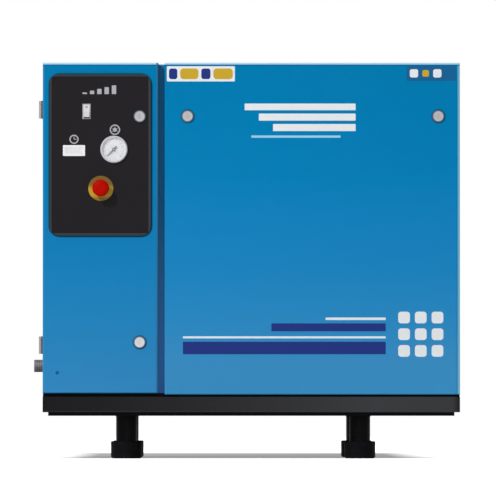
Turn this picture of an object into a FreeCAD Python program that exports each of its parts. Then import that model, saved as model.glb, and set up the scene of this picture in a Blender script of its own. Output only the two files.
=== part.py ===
import FreeCAD, Part
import math
import os

os.makedirs("parts", exist_ok=True)

# Cabinet shell
cabinet_width = 1000.0
cabinet_depth = 640.0
cabinet_top = 949.0
panel_sheet = 2.0
fold_radius = 3.0
pan_depth = 25.0
pan_flange = 12.0
frame_gap = 3.0
seal_thickness = 2.4
seal_width = 10.0
door_width = 277.0
groove_width = 15.0
door_bottom_gap = 8.5
panel_bottom_gap = 5.0
roof_drop = 2.0
foam_thickness = 25.0

# Feet, legs and base
foot_diameter = 75.0
foot_height = 41.5
foot_top_rounding = 2.0
foot_bottom_rounding = 4.0
foot_bolt_diameter = 12.0
foot_recess_diameter = 34.0
foot_recess_depth = 12.0
leg_diameter = 50.0
leg_wall = 3.0
leg_height = 61.0
leg_from_left = 200.0
leg_from_right = 238.5
leg_from_front = 95.0
tray_inset = 13.0
tray_height = 8.5
rail_height = 37.0
rail_width = 40.0
rail_wall = 3.0

# Inner frame
angle_leg = 35.0
angle_thickness = 2.5
centre_post_flange = 67.0
centre_post_depth = 30.0
sill_height = 27.0
plinth_height = 6.0
locating_pin_diameter = 8.0
locating_hole_diameter = 9.2
locating_pin_length = 10.0
locating_pin_inset = 94.0

# Things on the left side
hinge_height = 42.0
hinge_from_top = 112.0
hinge_from_base = 124.0
hinge_barrel_diameter = 9.0
hinge_pin_diameter = 5.0
hinge_leaf_length = 24.0
hinge_leaf_thickness = 2.5
outlet_from_base = 75.0
outlet_from_front = 170.0
outlet_reach = 24.0
outlet_diameter = 30.0
outlet_thread_radius = 9.3
outlet_thread_depth = 16.0

# Control fascia and what it carries, placed from the cabinet's left edge and top
fascia_from_left = 15.0
fascia_from_top = 27.0
fascia_width = 245.0
fascia_height = 388.5
fascia_corner = 25.0
fascia_thickness = 3.0
fascia_rim_width = 6.0
fascia_rim_height = 1.5
rocker_from_left = 105.0
rocker_from_top = 117.0
rocker_bezel_width = 20.0
rocker_bezel_height = 37.0
rocker_width = 14.0
rocker_half_height = 15.0
rocker_tilt = 10.0
gauge_from_left = 170.7
gauge_from_top = 208.0
gauge_diameter = 65.0
gauge_face_diameter = 57.0
meter_from_left = 75.0
meter_from_top = 211.0
meter_width = 53.0
meter_height = 26.0
stop_from_left = 139.2
stop_from_top = 301.5
stop_disc_diameter = 60.0
stop_head_diameter = 40.0
stop_travel = 5.0

# Quarter-turn locks
lock_head_diameter = 29.0
lock_head_thickness = 4.5
lock_head_chamfer = 1.5
lock_barrel_diameter = 20.0
lock_core_diameter = 14.0
lock_cam_length = 38.0
lock_cam_width = 14.0
lock_cam_thickness = 3.0
door_lock_from_edge = 44.6
door_lock_from_top = 129.0
door_lock_from_base = 130.5
panel_lock_from_left_edge = 55.2
panel_lock_from_right_edge = 51.6
panel_lock_from_top = 128.5

# Compressor pump
damper_height = 35.0
damper_diameter = 50.0
bed_plate = 4.0
bed_from_panel_edge = 58.0
bed_from_right = 45.0
bed_from_front = 110.0
pedestal_height = 73.0
pump_from_panel_edge = 218.0
pump_front_y = -130.0
pump_rear_y = 105.0
crank_height = 130.0
cylinder_foot_height = 92.0
cylinder_length = 140.0
large_cylinder_y = -62.0
small_cylinder_y = 50.0
large_barrel_radius = 52.0
large_fin_half_width = 74.0
large_fin_half_depth = 56.0
small_barrel_radius = 38.0
small_fin_half_width = 64.0
small_fin_half_depth = 50.0
fin_pitch = 14.0
fin_thickness = 3.5
fin_corner = 14.0
cylinder_flange = 10.0
head_height = 50.0
head_half_width = 70.0
head_fin_count = 8
head_fin_pitch = 16.0
head_fin_height = 18.0
crankshaft_diameter = 35.0

# Belt drive
belt_plane_y = -177.5
belt_pitch = 16.0
belt_top_width = 13.0
belt_height = 8.0
belt_flank_angle = 20.0
belt_below_rim = 1.0
belt_clearance = 0.45
flywheel_diameter = 360.0
flywheel_rim_thickness = 31.0
flywheel_hub_radius = 52.0
flywheel_spokes = 5
motor_pulley_diameter = 126.0
rim_edge = 4.0

# Electric motor
motor_from_right = 155.0
motor_rail_height = 20.0
motor_shaft_height = 112.0
motor_radius = 98.0
motor_front_y = -110.0
motor_rear_y = 120.0
motor_shaft_diameter = 28.0
motor_fins = 24
motor_cowl_length = 88.0

# Cooling fan at the rear
fan_from_panel_edge = 348.0
fan_from_top = 389.0
fan_ring_radius = 152.0
fan_ring_depth = 58.0
fan_hub_radius = 55.0
fan_blades = 7
guard_wire = 4.0
guard_spokes = 8
guard_ring_radii = (88.0, 122.0)

# Fits and steps used all over
running_fit = 0.05
visible_gap = 0.4

left = -cabinet_width / 2
right = cabinet_width / 2
front = -cabinet_depth / 2
rear = cabinet_depth / 2
leg_top = foot_height + leg_height
rail_bottom = leg_top + tray_height
base_top = rail_bottom + rail_height
plinth_top = base_top + plinth_height
roof_top = cabinet_top - roof_drop
roof_bottom = roof_top - panel_sheet
pan_back = front + pan_depth
frame_front = pan_back + frame_gap
frame_flange_back = frame_front + angle_thickness
door_right = left + door_width
panel_left = door_right + groove_width
centre_post_x = (door_right + panel_left) / 2
door_bottom = base_top + door_bottom_gap
panel_bottom = base_top + panel_bottom_gap
bed_top = base_top + damper_height + bed_plate
crank_z = bed_top + pedestal_height + crank_height
cylinder_foot_z = crank_z + cylinder_foot_height
head_z = cylinder_foot_z + cylinder_length
motor_z = bed_top + motor_rail_height + motor_shaft_height
fascia_front = front - fascia_thickness
leg_left_x = left + leg_from_left
leg_right_x = right - leg_from_right
leg_row_y = -(front + leg_from_front)
hinge_upper_z = cabinet_top - hinge_from_top
hinge_lower_z = base_top + hinge_from_base
outlet_z = base_top + outlet_from_base
outlet_y = front + outlet_from_front
fascia_left_x = left + fascia_from_left
fascia_right_x = fascia_left_x + fascia_width
fascia_top_z = cabinet_top - fascia_from_top
fascia_bottom_z = fascia_top_z - fascia_height
rocker_x = left + rocker_from_left
rocker_z = cabinet_top - rocker_from_top
gauge_x = left + gauge_from_left
gauge_z = cabinet_top - gauge_from_top
meter_x = left + meter_from_left
meter_z = cabinet_top - meter_from_top
stop_x = left + stop_from_left
stop_z = cabinet_top - stop_from_top
door_lock_x = door_right - door_lock_from_edge
door_lock_upper_z = cabinet_top - door_lock_from_top
door_lock_lower_z = base_top + door_lock_from_base
panel_lock_left_x = panel_left + panel_lock_from_left_edge
panel_lock_right_x = right - panel_lock_from_right_edge
panel_lock_z = cabinet_top - panel_lock_from_top
bed_left_x = panel_left + bed_from_panel_edge
bed_right_x = right - bed_from_right
bed_half_depth = -(front + bed_from_front)
pump_x = panel_left + pump_from_panel_edge
motor_x = right - motor_from_right
fan_x = panel_left + fan_from_panel_edge
fan_z = cabinet_top - fan_from_top

# The origin lies under the middle of the whole object, so the cabinet moves by half of what sticks out
stop_reach = 38.0
gland_reach = 24.0
frame_shift = FreeCAD.Vector(outlet_reach / 2, (stop_reach - gland_reach) / 2, 0)

along_x = (1, 0, 0)
along_y = (0, 1, 0)
along_z = (0, 0, 1)
to_left = (-1, 0, 0)
to_front = (0, -1, 0)
downward = (0, 0, -1)


def box(x_min, x_max, y_min, y_max, z_min, z_max):
    corner = FreeCAD.Vector(x_min, y_min, z_min)
    return Part.makeBox(x_max - x_min, y_max - y_min, z_max - z_min, corner)


def rod(start, direction, radius, length):
    return Part.makeCylinder(radius, length, FreeCAD.Vector(*start), FreeCAD.Vector(*direction))


def tube(start, direction, radius, bore_radius, length):
    return rod(start, direction, radius, length).cut(rod(start, direction, bore_radius, length))


def hexagon(start, direction, across_flats, length):
    corner_radius = across_flats / math.sqrt(3)
    turns = [math.radians(60 * step) for step in range(7)]
    corners = [FreeCAD.Vector(corner_radius * math.cos(turn), corner_radius * math.sin(turn), 0) for turn in turns]
    prism = Part.Face(Part.makePolygon(corners)).extrude(FreeCAD.Vector(0, 0, length))
    prism.Placement = facing(start, direction)
    return prism


def facing(start, direction):
    turn = FreeCAD.Rotation(FreeCAD.Vector(0, 0, 1), FreeCAD.Vector(*direction))
    return FreeCAD.Placement(FreeCAD.Vector(*start), turn)


def turned(profile, start, direction):
    corners = [FreeCAD.Vector(radius, 0, height) for radius, height in profile]
    face = Part.Face(Part.makePolygon(corners + corners[:1]))
    solid = face.revolve(FreeCAD.Vector(0, 0, 0), FreeCAD.Vector(0, 0, 1), 360)
    solid.Placement = facing(start, direction)
    return solid


def outline_along_y(points, y_min, y_max):
    corners = [FreeCAD.Vector(x, y_min, z) for x, z in points]
    face = Part.Face(Part.makePolygon(corners + corners[:1]))
    return face.extrude(FreeCAD.Vector(0, y_max - y_min, 0))


def outline_along_x(points, x_min, x_max):
    corners = [FreeCAD.Vector(x_min, y, z) for y, z in points]
    face = Part.Face(Part.makePolygon(corners + corners[:1]))
    return face.extrude(FreeCAD.Vector(x_max - x_min, 0, 0))


def outline_along_z(points, z_min, z_max):
    corners = [FreeCAD.Vector(x, y, z_min) for x, y in points]
    face = Part.Face(Part.makePolygon(corners + corners[:1]))
    return face.extrude(FreeCAD.Vector(0, 0, z_max - z_min))


def edges_along(solid, direction):
    wanted = FreeCAD.Vector(*direction)
    straight = [edge for edge in solid.Edges if len(edge.Vertexes) == 2]
    return [edge for edge in straight if edge.tangentAt(edge.FirstParameter).cross(wanted).Length < 0.01]


def rounded_box(x_min, x_max, y_min, y_max, z_min, z_max, radius, direction):
    solid = box(x_min, x_max, y_min, y_max, z_min, z_max)
    return solid.makeFillet(radius, edges_along(solid, direction))


def turned_copies(solid, count, centre, direction):
    copies = []
    for step in range(count):
        copy = solid.copy()
        copy.rotate(FreeCAD.Vector(*centre), FreeCAD.Vector(*direction), 360 * step / count)
        copies.append(copy)
    return copies


def fused(first, others):
    return first.fuse(others).removeSplitter()


def save(node, solids):
    shape = Part.makeCompound(solids)
    shape.translate(frame_shift)
    shape.exportStep("parts/" + node + ".step")


# Rubber feet with a recess underneath for the bolt head
leg_places = [(x, y) for x in (leg_left_x, leg_right_x) for y in (-leg_row_y, leg_row_y)]
foot_radius = foot_diameter / 2
foot_bolt_radius = foot_bolt_diameter / 2
foot_recess_radius = foot_recess_diameter / 2
foot_profile = [
    (foot_bolt_radius, foot_recess_depth),
    (foot_recess_radius, foot_recess_depth),
    (foot_recess_radius, 0),
    (foot_radius - foot_bottom_rounding, 0),
    (foot_radius, foot_bottom_rounding),
    (foot_radius, foot_height - foot_top_rounding),
    (foot_radius - foot_top_rounding, foot_height),
    (foot_bolt_radius, foot_height),
]
save("feet", [turned(foot_profile, (x, y, 0), along_z) for x, y in leg_places])

# Welded tube legs closed at the foot, and the bolts that hold the feet
leg_floor = 6.0
foot_washer = 2.5
foot_washer_play = 3.0
foot_bolt_head = 7.0
foot_bolt_flats = 18.0
legs = []
for x, y in leg_places:
    leg = rod((x, y, foot_height), along_z, leg_diameter / 2, leg_height)
    bore = rod((x, y, foot_height + leg_floor), along_z, leg_diameter / 2 - leg_wall, leg_height)
    bolt_hole = rod((x, y, foot_height), along_z, foot_bolt_radius, leg_floor)
    legs.append(leg.cut(bore).cut(bolt_hole))
    washer_z = foot_recess_depth - foot_washer
    head = hexagon((x, y, washer_z), downward, foot_bolt_flats, foot_bolt_head)
    washer = rod((x, y, washer_z), along_z, foot_recess_radius - foot_washer_play, foot_washer)
    shank = rod((x, y, foot_recess_depth), along_z, foot_bolt_radius, foot_height + leg_floor - foot_recess_depth)
    legs.append(fused(head, [washer, shank]))
save("legs", legs)

# Base frame of hollow rails, capped at the sides
cap_thickness = 1.5


def hollow_rail(x_min, x_max, y_min, y_max):
    rail = box(x_min, x_max, y_min, y_max, rail_bottom, base_top)
    low = rail_bottom + rail_wall
    high = base_top - rail_wall
    if x_max - x_min > y_max - y_min:
        return rail.cut(box(x_min, x_max, y_min + rail_wall, y_max - rail_wall, low, high))
    return rail.cut(box(x_min + rail_wall, x_max - rail_wall, y_min, y_max, low, high))


rail_left = left + cap_thickness
rail_right = right - cap_thickness
bearer_y = 150.0
base_rails = [
    hollow_rail(rail_left, rail_right, front, front + rail_width),
    hollow_rail(rail_left, rail_right, rear - rail_width, rear),
]
inner_front = front + rail_width
inner_rear = rear - rail_width
for x in (rail_left, centre_post_x - rail_width / 2, rail_right - rail_width):
    base_rails.append(hollow_rail(x, x + rail_width, inner_front, inner_rear))
for y in (-bearer_y, bearer_y):
    bearer_left = centre_post_x + rail_width / 2
    base_rails.append(hollow_rail(bearer_left, rail_right - rail_width, y - rail_width / 2, y + rail_width / 2))
for y in (front, rear - rail_width):
    base_rails.append(box(left, rail_left, y, y + rail_width, rail_bottom, base_top))
    base_rails.append(box(rail_right, right, y, y + rail_width, rail_bottom, base_top))

# Sills on the front rail, the right one with holes for the locating pins of the front panel, and
# a low plinth on the rails on which the posts and the side and rear sheets stand
post_left = left + panel_sheet
post_right = right - panel_sheet
post_rear = rear - panel_sheet
centre_flange_left = centre_post_x - centre_post_flange / 2
centre_flange_right = centre_post_x + centre_post_flange / 2
centre_back = frame_front + centre_post_depth


def corner_post(x_edge, y_edge, x_way, y_way, z_min, z_max):
    x_leg = x_edge + x_way * angle_leg
    y_leg = y_edge + y_way * angle_leg
    x_skin = x_edge + x_way * angle_thickness
    y_skin = y_edge + y_way * angle_thickness
    points = [(x_edge, y_edge), (x_leg, y_edge), (x_leg, y_skin), (x_skin, y_skin), (x_skin, y_leg), (x_edge, y_leg)]
    return outline_along_z(points, z_min, z_max)


def centre_post(z_min, z_max):
    flange = box(centre_flange_left, centre_flange_right, frame_front, frame_flange_back, z_min, z_max)
    channel = box(door_right, panel_left, frame_flange_back, centre_back, z_min, z_max)
    hollow = box(
        door_right + angle_thickness,
        panel_left - angle_thickness,
        frame_flange_back,
        centre_back - angle_thickness,
        z_min,
        z_max,
    )
    return flange.fuse(channel.cut(hollow)).removeSplitter()


def five_posts(z_min, z_max):
    return [
        corner_post(post_left, frame_front, 1, 1, z_min, z_max),
        corner_post(post_right, frame_front, -1, 1, z_min, z_max),
        corner_post(post_left, post_rear, 1, -1, z_min, z_max),
        corner_post(post_right, post_rear, -1, -1, z_min, z_max),
        centre_post(z_min, z_max),
    ]


bay_edges = [
    (post_left + angle_leg, centre_flange_left),
    (centre_flange_right, post_right - angle_leg),
]
pin_places = [panel_left + locating_pin_inset, right - locating_pin_inset]
pin_from_base = 15.5
pin_z = base_top + pin_from_base
for x_min, x_max in bay_edges:
    base_rails.append(box(x_min, x_max, frame_front, frame_flange_back, base_top, base_top + sill_height))
for x in pin_places:
    hole = rod((x, frame_front, pin_z), along_y, locating_hole_diameter / 2, angle_thickness)
    base_rails[-1] = base_rails[-1].cut(hole)
for x in (left, post_right):
    base_rails.append(box(x, x + panel_sheet, frame_front, rear, base_top, plinth_top))
base_rails.append(box(post_left, post_right, post_rear, rear, base_top, plinth_top))
save("base_frame", base_rails + five_posts(base_top, plinth_top))

# Floor tray under the rails with drain holes, and a welded rim of strips
tray_left = left + tray_inset
tray_right = right - tray_inset
tray_front = front + tray_inset
tray_rear = rear - tray_inset
tray_floor = box(tray_left, tray_right, tray_front, tray_rear, leg_top, leg_top + panel_sheet)
drain_radius = 9.0
drain_inset = 120.0
for x in (tray_left + drain_inset, leg_left_x + drain_inset, leg_right_x - drain_inset, tray_right - drain_inset):
    tray_floor = tray_floor.cut(rod((x, 0, leg_top), along_z, drain_radius, panel_sheet))
rim_floor = leg_top + panel_sheet
tray = [
    tray_floor,
    box(tray_left, tray_right, tray_front, tray_front + panel_sheet, rim_floor, rail_bottom),
    box(tray_left, tray_right, tray_rear - panel_sheet, tray_rear, rim_floor, rail_bottom),
]
for x in (tray_left, tray_right - panel_sheet):
    tray.append(box(x, x + panel_sheet, tray_front + panel_sheet, tray_rear - panel_sheet, rim_floor, rail_bottom))
save("base_tray", tray)


# Corner posts, centre post and top rails of the inner frame
def angle_rail(x_min, x_max, y_edge, y_way):
    y_skin = y_edge + y_way * angle_thickness
    y_leg = y_edge + y_way * angle_leg
    low = roof_bottom - angle_leg
    skin = roof_bottom - angle_thickness
    points = [(y_edge, low), (y_skin, low), (y_skin, skin), (y_leg, skin), (y_leg, roof_bottom), (y_edge, roof_bottom)]
    return outline_along_x(points, x_min, x_max)


frame_parts = five_posts(plinth_top, roof_bottom)
for x_min, x_max in bay_edges:
    frame_parts.append(angle_rail(x_min, x_max, frame_front, 1))
frame_parts.append(angle_rail(post_left + angle_leg, post_right - angle_leg, post_rear, -1))
save("posts", frame_parts)

# Roof sheet over the frame
save("roof_panel", [box(left, right, frame_front, rear, roof_bottom, roof_top)])

# Left side sheet with the hole for the outlet
outlet_stem_radius = 12.0
left_sheet = box(left, post_left, frame_front, rear, plinth_top, roof_bottom)
left_sheet = left_sheet.cut(rod((left, outlet_y, outlet_z), along_x, outlet_stem_radius, panel_sheet))
save("left_panel", [left_sheet])

# Right side sheet with rows of cooling slots
slot_length = 90.0
slot_height = 8.0
slot_pitch = 20.0
slot_rows = 9
slot_columns = 2
intake_from_base = 122.0
intake_from_front = 240.0
intake_z = base_top + intake_from_base
intake_y = front + intake_from_front
right_sheet = box(post_right, right, frame_front, rear, plinth_top, roof_bottom)
slots = []
for row in range(slot_rows):
    for column in range(slot_columns):
        slot_y = intake_y + column * (slot_length + slot_pitch)
        slot_z = intake_z + row * slot_pitch
        slots.append(box(post_right, right, slot_y, slot_y + slot_length, slot_z, slot_z + slot_height))
save("right_panel", [right_sheet.cut(Part.makeCompound(slots))])

# Rear sheet with a round field of slots behind the fan and a hole for the cable gland
gland_from_left = 140.0
gland_from_base = 82.0
gland_x = left + gland_from_left
gland_z = base_top + gland_from_base
gland_radius = 10.0
rear_sheet = box(post_left, post_right, post_rear, rear, plinth_top, roof_bottom)
rear_slot_height = 10.0
rear_slot_pitch = 18.0
rear_slot_gap = 8.0
grille_radius = fan_ring_radius - 10
rows_each_way = int(grille_radius // rear_slot_pitch)
grille = []
for row in range(-rows_each_way, rows_each_way + 1):
    row_z = row * rear_slot_pitch
    reach = math.sqrt(grille_radius ** 2 - row_z ** 2)
    if reach < slot_length / 3:
        continue
    slots_in_row = int(2 * reach // slot_length) + 1
    slot_step = 2 * reach / slots_in_row
    for place in range(slots_in_row):
        slot_x = fan_x - reach + place * slot_step
        low = fan_z + row_z - rear_slot_height / 2
        slot = box(slot_x, slot_x + slot_step - rear_slot_gap, post_rear, rear, low, low + rear_slot_height)
        grille.append(slot)
rear_sheet = rear_sheet.cut(Part.makeCompound(grille))
rear_sheet = rear_sheet.cut(rod((gland_x, post_rear, gland_z), along_y, gland_radius, panel_sheet))
save("rear_panel", [rear_sheet])

# Partition between the control bay and the machine bay, with a hole for the delivery pipe
pipe_radius = 9.0
pipe_y = small_cylinder_y
pipe_z = head_z + head_height / 2
partition_x = centre_post_x - panel_sheet / 2
partition = box(partition_x, partition_x + panel_sheet, centre_back, post_rear, base_top, roof_bottom)
top_rail_notch = box(
    partition_x,
    partition_x + panel_sheet,
    post_rear - angle_leg,
    post_rear,
    roof_bottom - angle_leg,
    roof_bottom,
)
partition = partition.cut(top_rail_notch)
pipe_hole_radius = 14.0
partition = partition.cut(rod((partition_x, pipe_y, pipe_z), along_x, pipe_hole_radius, panel_sheet))
save("partition", [partition])

# Sound foam on the partition, the right side, the rear and the roof of the machine bay
foam_from_base = 30.0
foam_margin = 5.0
foam_bottom = base_top + foam_from_base
foam_top = roof_bottom - angle_leg - foam_margin
lining = []
partition_foam_x = partition_x + panel_sheet
partition_foam_end = post_rear - angle_leg - foam_margin
pipe_slot = 20.0
lining.append(box(
    partition_foam_x,
    partition_foam_x + foam_thickness,
    centre_back + foam_margin,
    partition_foam_end,
    foam_bottom,
    pipe_z - pipe_slot,
))
lining.append(box(
    partition_foam_x,
    partition_foam_x + foam_thickness,
    centre_back + foam_margin,
    partition_foam_end,
    pipe_z + pipe_slot,
    foam_top,
))
right_foam_x = post_right - foam_thickness
right_foam_start = frame_front + angle_leg + foam_margin
slots_top = intake_z + slot_rows * slot_pitch
slots_end = intake_y + slot_columns * (slot_length + slot_pitch)
lining.append(box(right_foam_x, post_right, right_foam_start, partition_foam_end, slots_top, foam_top))
lining.append(box(right_foam_x, post_right, right_foam_start, intake_y - slot_pitch, foam_bottom, slots_top))
lining.append(box(right_foam_x, post_right, slots_end, partition_foam_end, foam_bottom, slots_top))
fan_plate_margin = 18.0
fan_half = fan_ring_radius + fan_plate_margin
rear_foam_y = post_rear - foam_thickness
rear_foam_left = partition_foam_x + foam_thickness + foam_margin
rear_foam_right = post_right - angle_leg - foam_margin
lining.append(box(rear_foam_left, rear_foam_right, rear_foam_y, post_rear, fan_z + fan_half, foam_top))
lining.append(box(rear_foam_left, rear_foam_right, rear_foam_y, post_rear, foam_bottom, fan_z - fan_half))
lining.append(box(rear_foam_left, fan_x - fan_half, rear_foam_y, post_rear, fan_z - fan_half, fan_z + fan_half))
lining.append(box(fan_x + fan_half, rear_foam_right, rear_foam_y, post_rear, fan_z - fan_half, fan_z + fan_half))
roof_foam_front = frame_front + angle_leg + foam_margin
roof_foam_low = roof_bottom - foam_thickness
lining.append(box(
    partition_foam_x + foam_margin,
    post_right - foam_margin,
    roof_foam_front,
    partition_foam_end,
    roof_foam_low,
    roof_bottom,
))
save("foam_lining", lining)

# Outlet fitting through the left side, with a nut inside
outlet_radius = outlet_diameter / 2
outlet_nut_thickness = 8.0
outlet_inside = 24.0
outlet_outer = left - outlet_reach
outlet_nut_flats = 36.0
knurls = 24
knurl_depth = 0.8
knurl_half_width = 0.9
knurl_margin = 4.0
outlet = rod((outlet_outer, outlet_y, outlet_z), along_x, outlet_radius, outlet_reach)
groove = box(
    outlet_outer + knurl_margin,
    left - knurl_margin,
    outlet_y + outlet_radius - knurl_depth,
    outlet_y + outlet_radius + knurl_depth,
    outlet_z - knurl_half_width,
    outlet_z + knurl_half_width,
)
outlet = outlet.cut(Part.makeCompound(turned_copies(groove, knurls, (0, outlet_y, outlet_z), along_x)))
outlet = outlet.fuse(rod((left, outlet_y, outlet_z), along_x, outlet_stem_radius, outlet_inside))
outlet = outlet.cut(rod((outlet_outer, outlet_y, outlet_z), along_x, outlet_thread_radius, outlet_thread_depth))
passage_radius = 6.0
outlet = outlet.cut(rod((outlet_outer, outlet_y, outlet_z), along_x, passage_radius, outlet_reach + outlet_inside))
outlet_nut = hexagon((post_left, outlet_y, outlet_z), along_x, outlet_nut_flats, outlet_nut_thickness)
outlet_nut = outlet_nut.cut(rod((post_left, outlet_y, outlet_z), along_x, outlet_stem_radius, outlet_nut_thickness))
save("outlet_fitting", [outlet, outlet_nut])

# Cable gland at the rear of the control bay
gland_bore_radius = 5.0
gland_inside = 10.0
gland_cap_radius = 13.0
gland_cap_length = 12.0
gland_lip_radius = 8.0
gland_lip = 3.0
gland_hex_flats = 25.0
gland_hex_length = 6.0
gland_nut_flats = 26.0
gland_nut_length = 5.0
gland_profile = [
    (gland_bore_radius, -gland_inside),
    (gland_radius, -gland_inside),
    (gland_radius, panel_sheet),
    (gland_cap_radius, panel_sheet),
    (gland_cap_radius, panel_sheet + gland_cap_length),
    (gland_radius, panel_sheet + gland_reach - gland_lip),
    (gland_lip_radius, panel_sheet + gland_reach),
    (gland_bore_radius, panel_sheet + gland_reach),
]
gland = turned(gland_profile, (gland_x, post_rear, gland_z), along_y)
gland_hex = hexagon((gland_x, rear, gland_z), along_y, gland_hex_flats, gland_hex_length)
gland_hex = gland_hex.cut(rod((gland_x, rear, gland_z), along_y, gland_bore_radius, gland_hex_length))
gland_nut = hexagon((gland_x, post_rear, gland_z), to_front, gland_nut_flats, gland_nut_length)
gland_nut = gland_nut.cut(rod((gland_x, post_rear, gland_z), to_front, gland_radius, gland_nut_length))
save("cable_gland", [gland.fuse(gland_hex).removeSplitter(), gland_nut])

# Lift-off hinges: the fixed leaf carries the pin, the moving leaf turns on it
barrel_radius = hinge_barrel_diameter / 2
hinge_side_gap = 0.6
fixed_leaf_inset = 5.0
moving_leaf_inset = 2.0
moving_leaf_length = 21.0
bore_roof = 1.5
pin_above_leaf = hinge_height / 2 - 2.0
hinge_x = left - barrel_radius - hinge_side_gap
hinge_y = (pan_back + frame_front) / 2
hinge_leaf_x = left - hinge_leaf_thickness
fixed_leaves = []
moving_leaves = []
for hinge_z in (hinge_upper_z, hinge_lower_z):
    bottom = hinge_z - hinge_height / 2
    top = hinge_z + hinge_height / 2
    axis_low = (hinge_x, hinge_y, bottom)
    axis_high = (hinge_x, hinge_y, hinge_z + visible_gap)
    leaf_start = frame_front + fixed_leaf_inset
    fixed = box(hinge_leaf_x, left, leaf_start, leaf_start + hinge_leaf_length, bottom, top)
    fixed = fixed.fuse(box(hinge_leaf_x, left, hinge_y, leaf_start, bottom, hinge_z))
    fixed = fixed.fuse(rod(axis_low, along_z, barrel_radius, hinge_height / 2))
    fixed_leaves.append(fixed.removeSplitter())
    fixed_leaves.append(rod((hinge_x, hinge_y, hinge_z), along_z, hinge_pin_diameter / 2, pin_above_leaf))
    leaf_end = pan_back - 2 * moving_leaf_inset
    moving = box(hinge_leaf_x, left, pan_back - moving_leaf_inset - moving_leaf_length, leaf_end, bottom, top)
    moving = moving.fuse(box(hinge_leaf_x, left, leaf_end, hinge_y, hinge_z + visible_gap, top))
    moving = moving.fuse(rod(axis_high, along_z, barrel_radius, hinge_height / 2 - visible_gap))
    pin_bore_radius = hinge_pin_diameter / 2 + running_fit
    pin_bore = rod(axis_high, along_z, pin_bore_radius, hinge_height / 2 - visible_gap - bore_roof)
    moving_leaves.append(moving.removeSplitter().cut(pin_bore))
save("hinge_fixed_leaves", fixed_leaves)
save("hinge_moving_leaves", moving_leaves)

# Square fan plate with its ring, fixed inside the rear sheet
plate_half = fan_half - panel_sheet
ring_outer = fan_ring_radius + panel_sheet
ring_start = post_rear - fan_ring_depth
fan_plate = box(
    fan_x - plate_half,
    fan_x + plate_half,
    post_rear - panel_sheet,
    post_rear,
    fan_z - plate_half,
    fan_z + plate_half,
)
fan_ring = tube((fan_x, ring_start, fan_z), along_y, ring_outer, fan_ring_radius, fan_ring_depth)
shroud = fan_plate.fuse(fan_ring)
shroud = shroud.cut(rod((fan_x, ring_start, fan_z), along_y, fan_ring_radius, fan_ring_depth))
save("fan_shroud", [shroud.removeSplitter()])

# Wire guard of the fan with its hub plate and the fixed pin of the fan motor
guard_spoke_overlap = 3.0
guard_y = ring_start - guard_wire
guard = rod((fan_x, guard_y, fan_z), along_y, fan_hub_radius, guard_wire)
guard_rings = []
for ring_radius in guard_ring_radii + (ring_outer,):
    guard_rings.append(tube((fan_x, guard_y, fan_z), along_y, ring_radius, ring_radius - guard_wire, guard_wire))
guard_spoke = box(
    fan_x + fan_hub_radius - guard_spoke_overlap,
    fan_x + ring_outer - guard_wire / 4,
    guard_y,
    ring_start,
    fan_z - guard_wire / 2,
    fan_z + guard_wire / 2,
)
guard_wires = turned_copies(guard_spoke, guard_spokes, (fan_x, 0, fan_z), along_y)
fan_pin_radius = 8.0
fan_pin_length = 30.0
fan_motor_radius = 40.0
fan_motor_depth = 14.0
fan_motor = rod((fan_x, ring_start, fan_z), along_y, fan_motor_radius, fan_motor_depth)
fan_pin = rod((fan_x, ring_start + fan_motor_depth, fan_z), along_y, fan_pin_radius, fan_pin_length)
save("fan_guard", [fused(guard, guard_rings + guard_wires), fused(fan_motor, [fan_pin])])

# Fan wheel: a hub cup with pitched blades
fan_hub_gap = 2.0
fan_hub_start = ring_start + fan_motor_depth + fan_hub_gap
fan_hub_length = 36.0
fan_tip_gap = 4.0
blade_root = 6.0
fan_hub = rod((fan_x, fan_hub_start, fan_z), along_y, fan_hub_radius, fan_hub_length)


def blade(radius_in, radius_out, chord_in, chord_out, thickness, pitch_in, pitch_out):
    sections = []
    for radius, chord, pitch in ((radius_in, chord_in, pitch_in), (radius_out, chord_out, pitch_out)):
        corners = []
        for across, thick in ((-1, -1), (1, -1), (1, 1), (-1, 1)):
            u = across * chord / 2
            v = thick * thickness / 2
            turn = math.radians(pitch)
            y = u * math.cos(turn) - v * math.sin(turn)
            z = u * math.sin(turn) + v * math.cos(turn)
            corners.append(FreeCAD.Vector(radius, y, z))
        sections.append(Part.makePolygon(corners + corners[:1]))
    return Part.makeLoft(sections, True, True)


fan_blade = blade(
    radius_in=fan_hub_radius - blade_root,
    radius_out=fan_ring_radius - fan_tip_gap,
    chord_in=52,
    chord_out=62,
    thickness=3,
    pitch_in=55,
    pitch_out=68,
)
fan_blade.translate(FreeCAD.Vector(fan_x, fan_hub_start + fan_hub_length / 2, fan_z))
vent_blades = turned_copies(fan_blade, fan_blades, (fan_x, 0, fan_z), along_y)
vent_fan = fused(fan_hub, vent_blades)
vent_fan = vent_fan.cut(rod((fan_x, ring_start, fan_z), along_y, fan_pin_radius + running_fit, fan_ring_depth))
save("vent_fan", [vent_fan])

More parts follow.
